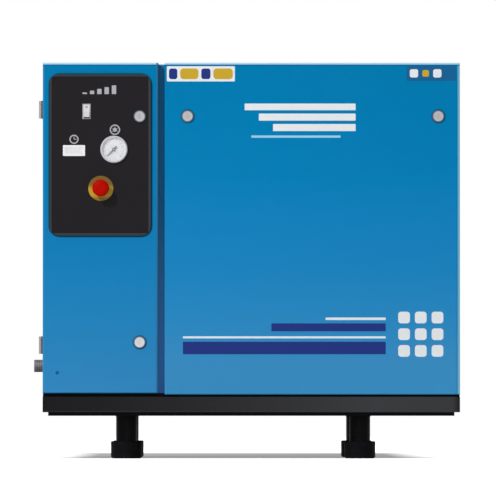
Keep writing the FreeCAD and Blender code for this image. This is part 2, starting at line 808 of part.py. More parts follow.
# Machine bed on its stiffeners, and the pump pedestal of three welded plates
bed_bottom = bed_top - bed_plate
stiffener = 25.0
damper_from_end = 45.0
damper_columns = (bed_left_x + damper_from_end, bed_right_x - damper_from_end)
damper_places = [(x, y) for x in damper_columns for y in (-bearer_y, bearer_y)]
pedestal_half_width = 105.0
pedestal_plate = 8.0
pedestal_top = bed_top + pedestal_height
bed = [box(bed_left_x, bed_right_x, -bed_half_depth, bed_half_depth, bed_bottom, bed_top)]
for y in (-bed_half_depth, bed_half_depth - bed_plate):
    bed.append(box(bed_left_x, bed_right_x, y, y + bed_plate, bed_bottom - stiffener, bed_bottom))
pedestal_low = pedestal_top - pedestal_plate
for x in (pump_x - pedestal_half_width, pump_x + pedestal_half_width - pedestal_plate):
    bed.append(box(x, x + pedestal_plate, pump_front_y, pump_rear_y, bed_top, pedestal_low))
bed.append(box(
    pump_x - pedestal_half_width,
    pump_x + pedestal_half_width,
    pump_front_y,
    pump_rear_y,
    pedestal_low,
    pedestal_top,
))
save("machine_bed", bed)

# Rubber dampers between the base rails and the machine bed
damper_radius = damper_diameter / 2
waist = 3.0
damper_plate = 4.0
waist_from_end = 10.0
damper_profile = [
    (0, 0),
    (damper_radius, 0),
    (damper_radius, damper_plate),
    (damper_radius - waist, waist_from_end),
    (damper_radius - waist, damper_height - waist_from_end),
    (damper_radius, damper_height - damper_plate),
    (damper_radius, damper_height),
    (0, damper_height),
]
save("dampers", [turned(damper_profile, (x, y, base_top), along_z) for x, y in damper_places])

# Slotted slide rails on which the motor is moved to tension the belts
slide_rail_half = 105.0
slide_rail_width = 44.0
slide_slot_half = 90.0
slide_slot_half_width = 7.0
slide_floor = 6.0
motor_foot_front = -60.0
motor_foot_rear = 70.0
slide_rails = []
rail_top = bed_top + motor_rail_height
for y in (motor_foot_front, motor_foot_rear):
    slide = box(
        motor_x - slide_rail_half,
        motor_x + slide_rail_half,
        y - slide_rail_width / 2,
        y + slide_rail_width / 2,
        bed_top,
        rail_top,
    )
    slot = box(
        motor_x - slide_slot_half,
        motor_x + slide_slot_half,
        y - slide_slot_half_width,
        y + slide_slot_half_width,
        bed_top + slide_floor,
        rail_top,
    )
    slide_rails.append(slide.cut(slot))
save("motor_rails", slide_rails)

# Motor housing with cooling fins, two feet and the bolts through them
motor_axis = (motor_x, motor_front_y, motor_z)
motor_length = motor_rear_y - motor_front_y
motor_fin_depth = 8.0
fin_root = motor_radius - motor_fin_depth
fin_step = 360 / motor_fins
housing_outline = []
for number in range(motor_fins):
    for radius, turn in ((fin_root, 0.1), (fin_root, 0.72), (motor_radius, 0.78), (motor_radius, 1.04)):
        angle = math.radians((number + turn) * fin_step)
        housing_outline.append((motor_x + radius * math.cos(angle), motor_z + radius * math.sin(angle)))
housing = outline_along_y(housing_outline, motor_front_y, motor_rear_y)
motor_foot_width = 40.0
motor_foot_half = 102.0
motor_foot_height = 14.0
web_half_depth = 14.0
web_foot_half = 76.0
web_top_half = 72.0
web_below_axis = 50.0
motor_bolt_inset = 14.0
motor_bolt_flats = 16.0
motor_bolt_height = 8.0
foot_top = rail_top + motor_foot_height
for y in (motor_foot_front, motor_foot_rear):
    foot = box(
        motor_x - motor_foot_half,
        motor_x + motor_foot_half,
        y - motor_foot_width / 2,
        y + motor_foot_width / 2,
        rail_top,
        foot_top,
    )
    web = outline_along_y(
        [
            (motor_x - web_foot_half, foot_top),
            (motor_x + web_foot_half, foot_top),
            (motor_x + web_top_half, motor_z - web_below_axis),
            (motor_x - web_top_half, motor_z - web_below_axis),
        ],
        y - web_half_depth,
        y + web_half_depth,
    )
    housing = housing.fuse([foot, web])
motor_shaft_bore = motor_shaft_diameter / 2 + running_fit
housing = housing.cut(rod(motor_axis, along_y, motor_shaft_bore, motor_length))
motor_bolts = []
for y in (motor_foot_front, motor_foot_rear):
    for way in (-1, 1):
        x = motor_x + way * (motor_foot_half - motor_bolt_inset)
        motor_bolts.append(hexagon((x, y, foot_top), along_z, motor_bolt_flats, motor_bolt_height))
save("motor_housing", [housing.removeSplitter()] + motor_bolts)

# End shields of the motor, stepped down to the bearing
shield_depth = 12.0
bearing_boss_radius = 40.0
bearing_boss_depth = 18.0
boss_slope = 14.0
shield_inset = 2.0
shield_chamfer = 3.0
shield_radius = motor_radius - shield_inset
shield_profile = [
    (motor_shaft_bore, 0),
    (shield_radius, 0),
    (shield_radius, shield_depth - shield_chamfer),
    (shield_radius - shield_chamfer, shield_depth),
    (bearing_boss_radius + boss_slope, shield_depth),
    (bearing_boss_radius, bearing_boss_depth),
    (motor_shaft_bore, bearing_boss_depth),
]
front_shield = turned(shield_profile, (motor_x, motor_front_y, motor_z), to_front)
rear_shield = turned(shield_profile, (motor_x, motor_rear_y, motor_z), along_y)
save("motor_end_shields", [front_shield, rear_shield])

# Fan cowl at the rear of the motor, open at the front and slotted at the back
cowl_gap = 1.0
cowl_sheet = 2.0
cowl_slot_radii = (24.0, 44.0, 64.0)
cowl_slot_width = 10.0
cowl_bars = 6
cowl_bar_half_width = 3.0
cowl_start = motor_rear_y + cowl_gap
cowl_end = cowl_start + motor_cowl_length
cowl_inside = motor_radius - cowl_sheet
cowl = rod((motor_x, cowl_start, motor_z), along_y, motor_radius, motor_cowl_length)
cowl = cowl.cut(rod((motor_x, cowl_start, motor_z), along_y, cowl_inside, motor_cowl_length - cowl_sheet))
cowl_bar = box(
    motor_x,
    motor_x + cowl_inside,
    cowl_end - cowl_sheet,
    cowl_end,
    motor_z - cowl_bar_half_width,
    motor_z + cowl_bar_half_width,
)
bars = Part.makeCompound(turned_copies(cowl_bar, cowl_bars, (motor_x, 0, motor_z), along_y))
for slot_radius in cowl_slot_radii:
    slot_start = (motor_x, cowl_end - cowl_sheet, motor_z)
    slot_ring = tube(slot_start, along_y, slot_radius + cowl_slot_width, slot_radius, cowl_sheet)
    cowl = cowl.cut(slot_ring.cut(bars))
save("motor_fan_cowl", [cowl])

# Terminal box on top of the motor, with a lid
terminal_half = 50.0
terminal_sunk = 10.0
terminal_corner = 8.0
lid_overhang = 2.0
terminal_low = motor_z + motor_radius - terminal_sunk
terminal_height = 50.0
lid_height = 6.0
terminal_front = -50.0
terminal_rear = 60.0
terminal_high = terminal_low + terminal_height
terminal_box = rounded_box(
    motor_x - terminal_half,
    motor_x + terminal_half,
    terminal_front,
    terminal_rear,
    terminal_low,
    terminal_high,
    terminal_corner,
    along_z,
)
terminal_box = terminal_box.cut(housing)
terminal_lid = rounded_box(
    motor_x - terminal_half - lid_overhang,
    motor_x + terminal_half + lid_overhang,
    terminal_front - lid_overhang,
    terminal_rear + lid_overhang,
    terminal_high,
    terminal_high + lid_height,
    terminal_corner,
    along_z,
)
save("terminal_box", [terminal_box.Solids[0], terminal_lid])

# Motor shaft, its two-groove pulley and the cooling fan at its rear
flank_slope = math.tan(math.radians(belt_flank_angle))
groove_floor_gap = 2.0
rim_depth = belt_height + belt_below_rim + groove_floor_gap
groove_at_rim = belt_top_width + 2 * (belt_below_rim * flank_slope + belt_clearance)
groove_floor_width = groove_at_rim - 2 * rim_depth * flank_slope
rim_width = belt_pitch + groove_at_rim + 2 * rim_edge
rim_front_y = belt_plane_y - rim_width / 2


def grooved_rim(outer_radius, inner_radius):
    points = [(inner_radius, 0), (outer_radius, 0)]
    for side in (-1, 1):
        middle = rim_width / 2 + side * belt_pitch / 2
        points.append((outer_radius, middle - groove_at_rim / 2))
        points.append((outer_radius - rim_depth, middle - groove_floor_width / 2))
        points.append((outer_radius - rim_depth, middle + groove_floor_width / 2))
        points.append((outer_radius, middle + groove_at_rim / 2))
    points.append((outer_radius, rim_width))
    points.append((inner_radius, rim_width))
    return points


shaft_radius = motor_shaft_diameter / 2
shaft_before_rim = 2.0
shaft_before_cowl_end = 12.0
shaft_front = rim_front_y - shaft_before_rim
shaft_end = cowl_end - shaft_before_cowl_end
motor_shaft = rod((motor_x, shaft_front, motor_z), along_y, shaft_radius, shaft_end - shaft_front)
save("motor_shaft", [motor_shaft])
pulley_radius = motor_pulley_diameter / 2
pulley_hub_radius = 28.0
pulley_hub_length = 10.0
motor_pulley = turned(grooved_rim(pulley_radius, shaft_radius), (motor_x, rim_front_y, motor_z), along_y)
pulley_hub_start = (motor_x, rim_front_y + rim_width, motor_z)
pulley_hub = tube(pulley_hub_start, along_y, pulley_hub_radius, shaft_radius, pulley_hub_length)
save("motor_pulley", [motor_pulley.fuse(pulley_hub).removeSplitter()])
motor_fan_gap = 6.0
motor_fan_radius = 84.0
motor_fan_hub_radius = 26.0
motor_fan_hub_length = 34.0
motor_fan_disc_thickness = 3.0
motor_fan_vanes = 8
vane_start = 22.0
vane_depth = 32.0
vane_thickness = 3.0
fan_start = motor_rear_y + bearing_boss_depth + motor_fan_gap
fan_centre = (motor_x, fan_start, motor_z)
motor_fan_hub = tube(fan_centre, along_y, motor_fan_hub_radius, shaft_radius, motor_fan_hub_length)
motor_fan_disc = tube(fan_centre, along_y, motor_fan_radius, shaft_radius, motor_fan_disc_thickness)
fan_vane = box(
    motor_x + vane_start,
    motor_x + motor_fan_radius,
    fan_start,
    fan_start + vane_depth,
    motor_z - vane_thickness / 2,
    motor_z + vane_thickness / 2,
)
motor_fan = fused(motor_fan_hub, [motor_fan_disc] + turned_copies(fan_vane, motor_fan_vanes, fan_centre, along_y))
save("motor_fan", [motor_fan])

# Flywheel: grooved rim, hub and fan-blade spokes that blow air over the cylinders
flywheel_radius = flywheel_diameter / 2
crank_radius = crankshaft_diameter / 2
flywheel_rim_inner_radius = flywheel_radius - flywheel_rim_thickness
rim = turned(grooved_rim(flywheel_radius, flywheel_rim_inner_radius), (pump_x, rim_front_y, crank_z), along_y)
hub_behind_rim = 6.0
hub_length = rim_width + hub_behind_rim
spoke_root = 8.0
spoke_into_rim = 4.0
hub = rod((pump_x, rim_front_y, crank_z), along_y, flywheel_hub_radius, hub_length)
spoke = blade(
    radius_in=flywheel_hub_radius - spoke_root,
    radius_out=flywheel_rim_inner_radius + spoke_into_rim,
    chord_in=30,
    chord_out=34,
    thickness=8,
    pitch_in=30,
    pitch_out=35,
)
spoke.translate(FreeCAD.Vector(pump_x, belt_plane_y, crank_z))
spokes = turned_copies(spoke, flywheel_spokes, (pump_x, 0, crank_z), along_y)
flywheel = fused(rim, [hub] + spokes)
flywheel = flywheel.cut(rod((pump_x, rim_front_y, crank_z), along_y, crank_radius, hub_length))
save("flywheel", [flywheel])

# Crankshaft end with the bolt and washer that hold the flywheel
crank_inside = 60.0
crank_washer_thickness = 5.0
crank_washer_rim = 8.0
crank_bolt_flats = 24.0
crank_bolt_height = 12.0
crank_start = rim_front_y
crankshaft = rod((pump_x, crank_start, crank_z), along_y, crank_radius, pump_front_y + crank_inside - crank_start)
crank_end = (pump_x, crank_start, crank_z)
crank_washer = rod(crank_end, to_front, crank_radius + crank_washer_rim, crank_washer_thickness)
washer_front = (pump_x, crank_start - crank_washer_thickness, crank_z)
crank_bolt = hexagon(washer_front, to_front, crank_bolt_flats, crank_bolt_height)
save("crankshaft", [crankshaft, crank_washer, crank_bolt])

# Cast crankcase with a bearing cover, sight glass and drain plug; the outline is x and z from the crank
case_outline = [
    (-100, -130),
    (100, -130),
    (100, -116),
    (74, -110),
    (72, -30),
    (78, 0),
    (66, 50),
    (66, 78),
    (76, 80),
    (76, cylinder_foot_height),
    (-76, cylinder_foot_height),
    (-76, 80),
    (-66, 78),
    (-66, 50),
    (-78, 0),
    (-72, -30),
    (-74, -110),
    (-100, -116),
]
case_points = [(pump_x + x, crank_z + z) for x, z in case_outline]
crankcase = outline_along_y(case_points, pump_front_y, pump_rear_y)
bearing_cover_depth = 14.0
bearing_cover_radius = 60.0
shaft_bore_radius = crank_radius + running_fit
crank_end_play = 2.0
cover_bolt_circle = 50.0
cover_bolt_flats = 10.0
cover_bolt_height = 5.0
cover_bolt_count = 6
bearing_cover = rod((pump_x, pump_front_y, crank_z), to_front, bearing_cover_radius, bearing_cover_depth)
shaft_bore = rod(
    (pump_x, pump_front_y - bearing_cover_depth, crank_z),
    along_y,
    shaft_bore_radius,
    bearing_cover_depth + crank_inside + crank_end_play,
)
cover_bolt_start = (pump_x + cover_bolt_circle, pump_front_y - bearing_cover_depth, crank_z)
cover_bolt = hexagon(cover_bolt_start, to_front, cover_bolt_flats, cover_bolt_height)
cover_bolts = turned_copies(cover_bolt, cover_bolt_count, (pump_x, 0, crank_z), along_y)
case_side = 72.0
glass_radius = 16.0
glass_reach = 8.0
glass_place = (pump_x + case_side, 20, crank_z - 60)
sight_glass = rod(glass_place, along_x, glass_radius, glass_reach)
drain_flats = 20.0
drain_reach = 11.0
drain_place = (pump_x + case_side, -40, crank_z - 90)
drain_plug = hexagon(drain_place, along_x, drain_flats, drain_reach)
case_body = crankcase.cut(shaft_bore)
save("crankcase", [
    case_body,
    bearing_cover.cut(shaft_bore),
    sight_glass.cut(case_body),
    drain_plug.cut(case_body),
] + cover_bolts)

# Two finned cylinders of different bore, each with a flange at the foot and at the head
def finned_cylinder(middle_y, barrel_radius, half_width, half_depth):
    barrel = rod((pump_x, middle_y, cylinder_foot_z), along_z, barrel_radius, cylinder_length)
    first_fin = cylinder_foot_z + cylinder_flange
    last_fin = head_z - cylinder_flange
    plate_heights = [(cylinder_foot_z, first_fin), (last_fin, head_z)]
    fin_z = first_fin + fin_pitch - fin_thickness
    while fin_z + fin_thickness < last_fin - fin_thickness / 2:
        plate_heights.append((fin_z, fin_z + fin_thickness))
        fin_z = fin_z + fin_pitch
    outline = []
    for x_way, y_way in ((-1, -1), (1, -1), (1, 1), (-1, 1)):
        on_side = (pump_x + x_way * half_width, middle_y + y_way * (half_depth - fin_corner))
        on_end = (pump_x + x_way * (half_width - fin_corner), middle_y + y_way * half_depth)
        outline += [on_side, on_end] if x_way == y_way else [on_end, on_side]
    plates = [outline_along_z(outline, low, high) for low, high in plate_heights]
    return fused(barrel, plates)


cylinders = [
    finned_cylinder(large_cylinder_y, large_barrel_radius, large_fin_half_width, large_fin_half_depth),
    finned_cylinder(small_cylinder_y, small_barrel_radius, small_fin_half_width, small_fin_half_depth),
]
save("cylinders", cylinders)

# Finned cylinder head over both cylinders with its bolts
head_top = head_z + head_height
head_front = large_cylinder_y - large_fin_half_depth
head_rear = small_cylinder_y + small_fin_half_depth
head_left = pump_x - head_half_width
head_right = pump_x + head_half_width
head_corner = 12.0
head = rounded_box(head_left, head_right, head_front, head_rear, head_z, head_top, head_corner, along_z)
head_fin_thickness = 5.0
head_bolt_above_fins = 6.0
head_fin_inset = 10.0
head_fins = []
for number in range(head_fin_count):
    fin_x = pump_x + (number - (head_fin_count - 1) / 2) * head_fin_pitch
    head_fins.append(box(
        fin_x - head_fin_thickness / 2,
        fin_x + head_fin_thickness / 2,
        head_front + head_fin_inset,
        head_rear - head_fin_inset,
        head_top,
        head_top + head_fin_height,
    ))
head = fused(head, head_fins)
head_bolt_inset = 24.0
head_bolt_flats = 14.0
head_bolt_height = head_fin_height + head_bolt_above_fins
head_bolts = []
for y in (head_front + head_bolt_inset, (head_front + head_rear) / 2, head_rear - head_bolt_inset):
    for x in (head_left + head_bolt_flats, head_right - head_bolt_flats):
        head_bolts.append(hexagon((x, y, head_top), along_z, head_bolt_flats, head_bolt_height))
head = head.cut(Part.makeCompound(head_bolts))
save("cylinder_head", [head] + head_bolts)

# Air intake filter canister on an elbow from the large cylinder
filter_radius = 44.0
filter_lid = 2.0
filter_neck = 4.0
filter_neck_radius = 16.0
filter_below = 30.0
filter_above = 50.0
filter_edge = 4.0
lid_from_top = 16.0
lid_band = 10.0
filter_x = head_left - filter_neck - filter_radius
filter_before_cylinder = 10.0
filter_y = large_cylinder_y - filter_before_cylinder
filter_z = head_z + head_height / 2
canister_profile = [
    (0, -filter_below),
    (filter_radius - filter_edge, -filter_below),
    (filter_radius, -filter_below + filter_edge),
    (filter_radius, filter_above - lid_from_top),
    (filter_radius + filter_lid, filter_above - lid_from_top),
    (filter_radius + filter_lid, filter_above - lid_from_top + lid_band),
    (filter_radius - filter_edge, filter_above),
    (0, filter_above),
]
canister = turned(canister_profile, (filter_x, filter_y, filter_z), along_z)
neck_start = filter_x + filter_radius - filter_lid
inlet_neck = rod((neck_start, filter_y, filter_z), along_x, filter_neck_radius, filter_neck + filter_lid)
save("intake_filter", [canister.fuse(inlet_neck).removeSplitter()])


# Pipe of straight tubes with an elbow brazed in at each corner
def pipe_run(points, radius, bend):
    corners = [FreeCAD.Vector(*point) for point in points]
    pieces = []
    start = corners[0]
    for before, corner, after in zip(corners, corners[1:], corners[2:]):
        way_in = (corner - before).normalize()
        way_out = (after - corner).normalize()
        bend_start = corner - way_in * bend
        bend_end = corner + way_out * bend
        straight = bend_start - start
        pieces.append(Part.makeCylinder(radius, straight.Length, start, straight))
        circle = Part.Face(Part.Wire(Part.makeCircle(radius, bend_start, way_in)))
        centre = corner - way_in * bend + way_out * bend
        pieces.append(circle.revolve(centre, way_in.cross(way_out), 90))
        start = bend_end
    straight = corners[-1] - start
    pieces.append(Part.makeCylinder(radius, straight.Length, start, straight))
    return pieces


# Intercooler pipe between the two stages, with square fins
cooler_reach = 85.0
cooler_bend = 20.0
cooler_fin_half = 20.0
cooler_fin_pitch = 9.0
cooler_fin_count = 7
cooler_fin_start = 28.0
cooler_fin_thickness = 2.0
pipe_nut_flats = 26.0
pipe_nut_length = 14.0
cooler_x = head_right
cooler_out = cooler_x + cooler_reach
cooler = pipe_run(
    [
        (cooler_x, large_cylinder_y, pipe_z),
        (cooler_out, large_cylinder_y, pipe_z),
        (cooler_out, small_cylinder_y, pipe_z),
        (cooler_x, small_cylinder_y, pipe_z),
    ],
    pipe_radius,
    cooler_bend,
)
cooler_fins = []
for number in range(cooler_fin_count):
    fin_y = large_cylinder_y + cooler_fin_start + number * cooler_fin_pitch
    cooler_fins.append(box(
        cooler_out - cooler_fin_half,
        cooler_out + cooler_fin_half,
        fin_y,
        fin_y + cooler_fin_thickness,
        pipe_z - cooler_fin_half,
        pipe_z + cooler_fin_half,
    ))
flange_nuts = []
for y in (large_cylinder_y, small_cylinder_y):
    flange_nuts.append(hexagon((cooler_x, y, pipe_z), along_x, pipe_nut_flats, pipe_nut_length))
save("intercooler", cooler + [fin.cut(cooler[2]) for fin in cooler_fins] + [
    flange_nuts[0].cut(cooler[0]),
    flange_nuts[1].cut(cooler[-1]),
])

# Delivery pipe to the manifold and from there to the outlet
manifold_from_left = 170.0
manifold_from_base = 157.0
manifold_x = left + manifold_from_left
manifold_z = base_top + manifold_from_base
manifold_half = 20.0
pipe_bend = 30.0
delivery = pipe_run(
    [
        (head_left, pipe_y, pipe_z),
        (manifold_x, pipe_y, pipe_z),
        (manifold_x, pipe_y, manifold_z + manifold_half),
    ],
    pipe_radius,
    pipe_bend,
)
outlet_pipe = pipe_run(
    [
        (manifold_x, pipe_y, manifold_z - manifold_half),
        (manifold_x, pipe_y, outlet_z),
        (manifold_x, outlet_y, outlet_z),
        (left + outlet_inside, outlet_y, outlet_z),
    ],
    pipe_radius,
    pipe_bend,
)
delivery_nut = hexagon((head_left, pipe_y, pipe_z), to_left, pipe_nut_flats, pipe_nut_length)
fitting_nut = hexagon((left + outlet_inside, outlet_y, outlet_z), along_x, pipe_nut_flats, pipe_nut_length)
pipe_nuts = [delivery_nut.cut(delivery[0]), fitting_nut.cut(outlet_pipe[-1])]
save("air_pipes", delivery + outlet_pipe + pipe_nuts)

# Pressure switch on its manifold block
switch_stem_radius = 9.0
switch_stem_length = 14.0
switch_half_width = 32.0
switch_depth = 62.0
switch_below = 30.0
switch_above = 70.0
switch_corner = 8.0
manifold = box(
    manifold_x - manifold_half,
    manifold_x + manifold_half,
    pipe_y - manifold_half,
    pipe_y + manifold_half,
    manifold_z - manifold_half,
    manifold_z + manifold_half,
)
stem_start = (manifold_x, pipe_y - manifold_half, manifold_z)
switch_stem = rod(stem_start, to_front, switch_stem_radius, switch_stem_length)
switch_rear = pipe_y - manifold_half - switch_stem_length
switch_housing = rounded_box(
    manifold_x - switch_half_width,
    manifold_x + switch_half_width,
    switch_rear - switch_depth,
    switch_rear,
    manifold_z - switch_below,
    manifold_z + switch_above,
    switch_corner,
    along_y,
)
save("pressure_switch", [manifold, switch_stem, switch_housing])

# Safety valve with a closed cap on the rear of the manifold
valve_profile = [(0, 0), (8, 0), (8, 10), (13, 10), (13, 22), (10, 24), (10, 46), (7, 50), (0, 50)]
save("safety_valve", [turned(valve_profile, (manifold_x, pipe_y + manifold_half, manifold_z), along_y)])

# Two V-belts, each a closed loop of straight and round runs
centre_distance = math.hypot(motor_x - pump_x, motor_z - crank_z)
line_angle = math.atan2(motor_z - crank_z, motor_x - pump_x)
belt_lean = math.acos((flywheel_radius - pulley_radius) / centre_distance)
belt_bottom_width = belt_top_width - 2 * belt_height * flank_slope


def belt_section(centre_x, centre_z, radius, angle, y):
    outer = radius - belt_below_rim
    inner = outer - belt_height
    corners = []
    for distance, across in (
        (inner, -belt_bottom_width / 2),
        (inner, belt_bottom_width / 2),
        (outer, belt_top_width / 2),
        (outer, -belt_top_width / 2),
    ):
        corners.append(FreeCAD.Vector(
            centre_x + distance * math.cos(angle),
            y + across,
            centre_z + distance * math.sin(angle),
        ))
    return Part.Face(Part.makePolygon(corners + corners[:1]))


def belt(y):
    upper = line_angle + belt_lean
    lower = line_angle - belt_lean
    run_length = centre_distance * math.sin(belt_lean)
    pieces = []
    for angle, way in ((upper, -1), (lower, 1)):
        section = belt_section(pump_x, crank_z, flywheel_radius, angle, y)
        along = angle + way * math.pi / 2
        run = FreeCAD.Vector(run_length * math.cos(along), 0, run_length * math.sin(along))
        pieces.append(section.extrude(run))
    big_wrap = 360 - 2 * math.degrees(belt_lean)
    small_wrap = 2 * math.degrees(belt_lean)
    big = belt_section(pump_x, crank_z, flywheel_radius, upper, y)
    pieces.append(big.revolve(FreeCAD.Vector(pump_x, 0, crank_z), FreeCAD.Vector(0, -1, 0), big_wrap))
    small = belt_section(motor_x, motor_z, pulley_radius, upper, y)
    pieces.append(small.revolve(FreeCAD.Vector(motor_x, 0, motor_z), FreeCAD.Vector(0, 1, 0), small_wrap))
    return fused(pieces[0], pieces[1:])


save("v_belts", [belt(belt_plane_y - belt_pitch / 2), belt(belt_plane_y + belt_pitch / 2)])

# Mounting plate in the control bay with its rail, terminal strip and standoffs
plate_from_rear = 58.0
plate_from_left = 30.0
plate_from_partition = 20.0
plate_from_base = 282.0
plate_from_top = 69.0
plate_thickness = 3.0
standoff_inset = 15.0
standoff_radius = 6.0
plate_y = rear - plate_from_rear
plate_back = plate_y + plate_thickness
plate_left = left + plate_from_left
plate_right = door_right - plate_from_partition
plate_low = base_top + plate_from_base
plate_high = cabinet_top - plate_from_top
mounting_plate = box(plate_left, plate_right, plate_y, plate_back, plate_low, plate_high)
standoffs = []
for x in (plate_left + standoff_inset, plate_right - standoff_inset):
    for z in (plate_low + standoff_inset, plate_high - standoff_inset):
        standoffs.append(rod((x, plate_back, z), along_y, standoff_radius, post_rear - plate_back))
rail_from_top = 120.0
rail_inset = 15.0
rail_depth = 8.0
rail_half_height = 17.0
rail_z = plate_high - rail_from_top
rail_front = plate_y - rail_depth
component_rail = box(
    plate_left + rail_inset,
    plate_right - rail_inset,
    rail_front,
    plate_y,
    rail_z - rail_half_height,
    rail_z + rail_half_height,
)
strip_from_bottom = 70.0
strip_z = plate_low + strip_from_bottom
terminal_count = 10
terminal_from_edge = 30.0
terminal_pitch = 16.0
terminal_width = 15.0
terminal_depth = 40.0
terminal_half_height = 25.0
terminals = []
for number in range(terminal_count):
    terminal_x = plate_left + terminal_from_edge + number * terminal_pitch
    terminals.append(box(
        terminal_x,
        terminal_x + terminal_width,
        plate_y - terminal_depth,
        plate_y,
        strip_z - terminal_half_height,
        strip_z + terminal_half_height,
    ))
save("electrical_plate", [mounting_plate, component_rail] + standoffs + terminals)

# Contactor with its overload relay below and a timer beside it
contactor_from_edge = 80.0
contactor_half_width = 30.0
contactor_depth = 85.0
contactor_corner = 4.0
relay_half_width = 27.0
relay_depth = 78.0
relay_height = 55.0
timer_gap = 20.0
timer_width = 45.0
timer_depth = 65.0
contactor_x = plate_left + contactor_from_edge
contactor_low = rail_z - 40
contactor_high = rail_z + 42
contactor = rounded_box(
    contactor_x - contactor_half_width,
    contactor_x + contactor_half_width,
    rail_front - contactor_depth,
    rail_front,
    contactor_low,
    contactor_high,
    contactor_corner,
    along_y,
)
relay = box(
    contactor_x - relay_half_width,
    contactor_x + relay_half_width,
    rail_front - relay_depth,
    rail_front,
    contactor_low - relay_height,
    contactor_low,
)
timer_left = contactor_x + contactor_half_width + timer_gap
timer_right = timer_left + timer_width
timer = box(timer_left, timer_right, rail_front - timer_depth, rail_front, contactor_low, contactor_high)
save("contactor", [contactor, relay, timer])


# Folded pans of the door and the front panel, rounded around the front face
def folded_pan(x_min, x_max, z_min, z_max):
    solid = box(x_min, x_max, front, pan_back, z_min, z_max)
    front_edges = [edge for edge in solid.Edges if abs(edge.BoundBox.YMax - front) < 0.01]
    solid = solid.makeFillet(fold_radius, front_edges)
    hollow = box(
        x_min + panel_sheet,
        x_max - panel_sheet,
        front + panel_sheet,
        pan_back - panel_sheet,
        z_min + panel_sheet,
        z_max - panel_sheet,
    )
    back_opening = box(
        x_min + pan_flange,
        x_max - pan_flange,
        pan_back - panel_sheet,
        pan_back,
        z_min + pan_flange,
        z_max - pan_flange,
    )
    return solid.cut(hollow).cut(back_opening)


def pan_foam(x_min, x_max, z_min, z_max):
    inset = pan_flange + panel_sheet
    return box(
        x_min + inset,
        x_max - inset,
        front + panel_sheet,
        pan_back - panel_sheet,
        z_min + inset,
        z_max - inset,
    )


# Door with holes for the locks and for everything on the fascia
barrel_hole = lock_barrel_diameter / 2
bezel_overlap = 1.0
meter_overlap = 2.0
gauge_overlap = 3.0
gauge_body_radius = gauge_diameter / 2 - gauge_overlap
stop_stem_radius = 11.0
back_depth = 28.0
rocker_body_depth = 24.0


def behind(x, z, radius, depth):
    return rod((x, fascia_front, z), along_y, radius, depth)


rocker_body = box(
    rocker_x - rocker_bezel_width / 2 + bezel_overlap,
    rocker_x + rocker_bezel_width / 2 - bezel_overlap,
    fascia_front,
    front + rocker_body_depth,
    rocker_z - rocker_bezel_height / 2 + bezel_overlap,
    rocker_z + rocker_bezel_height / 2 - bezel_overlap,
)
meter_body = box(
    meter_x - meter_width / 2 + meter_overlap,
    meter_x + meter_width / 2 - meter_overlap,
    fascia_front,
    front + back_depth,
    meter_z - meter_height / 2 + meter_overlap,
    meter_z + meter_height / 2 - meter_overlap,
)
upper_lock_hole = rod((door_lock_x, fascia_front, door_lock_upper_z), along_y, barrel_hole, back_depth)
lower_lock_hole = rod((door_lock_x, front, door_lock_lower_z), along_y, barrel_hole, back_depth)
control_holes = [
    rocker_body,
    meter_body,
    upper_lock_hole,
    behind(gauge_x, gauge_z, gauge_body_radius, back_depth),
    behind(stop_x, stop_z, stop_stem_radius, back_depth),
]
door = folded_pan(left, door_right, door_bottom, cabinet_top)
door = door.cut(Part.makeCompound(control_holes + [lower_lock_hole]))
save("door_panel", [door])

# Door foam below the controls, and the rubber seal around the door
foam_below_fascia = 20.0
nut_room = 4.0
control_floor = fascia_bottom_z - foam_below_fascia
foam_hole_radius = lock_head_diameter / 2 + nut_room
foam_hole = rod((door_lock_x, front, door_lock_lower_z), along_y, foam_hole_radius, pan_depth)
door_foam = pan_foam(left, door_right, door_bottom, control_floor).cut(foam_hole)


def seal_strips(x_min, x_max, z_min, z_max):
    y_end = pan_back + seal_thickness
    inner_low = z_min + seal_width
    inner_high = z_max - seal_width
    return [
        box(x_min, x_max, pan_back, y_end, z_min, inner_low),
        box(x_min, x_max, pan_back, y_end, inner_high, z_max),
        box(x_min, x_min + seal_width, pan_back, y_end, inner_low, inner_high),
        box(x_max - seal_width, x_max, pan_back, y_end, inner_low, inner_high),
    ]


seal_outer_inset = 3.0
seal_inset = 2.0
seal_below_roof = 5.0
seal_high = roof_bottom - seal_below_roof
door_seal = seal_strips(left + seal_outer_inset, door_right - seal_inset, door_bottom + seal_inset, seal_high)
save("door_foam", [door_foam] + door_seal)

# Fascia plate with a raised rim
fascia = rounded_box(
    fascia_left_x,
    fascia_right_x,
    fascia_front - fascia_rim_height,
    front,
    fascia_bottom_z,
    fascia_top_z,
    fascia_corner,
    along_y,
)
fascia_field = rounded_box(
    fascia_left_x + fascia_rim_width,
    fascia_right_x - fascia_rim_width,
    fascia_front - fascia_rim_height,
    fascia_front,
    fascia_bottom_z + fascia_rim_width,
    fascia_top_z - fascia_rim_width,
    fascia_corner - fascia_rim_width,
    along_y,
)
fascia = fascia.cut(fascia_field).cut(Part.makeCompound(control_holes))
save("fascia", [fascia])

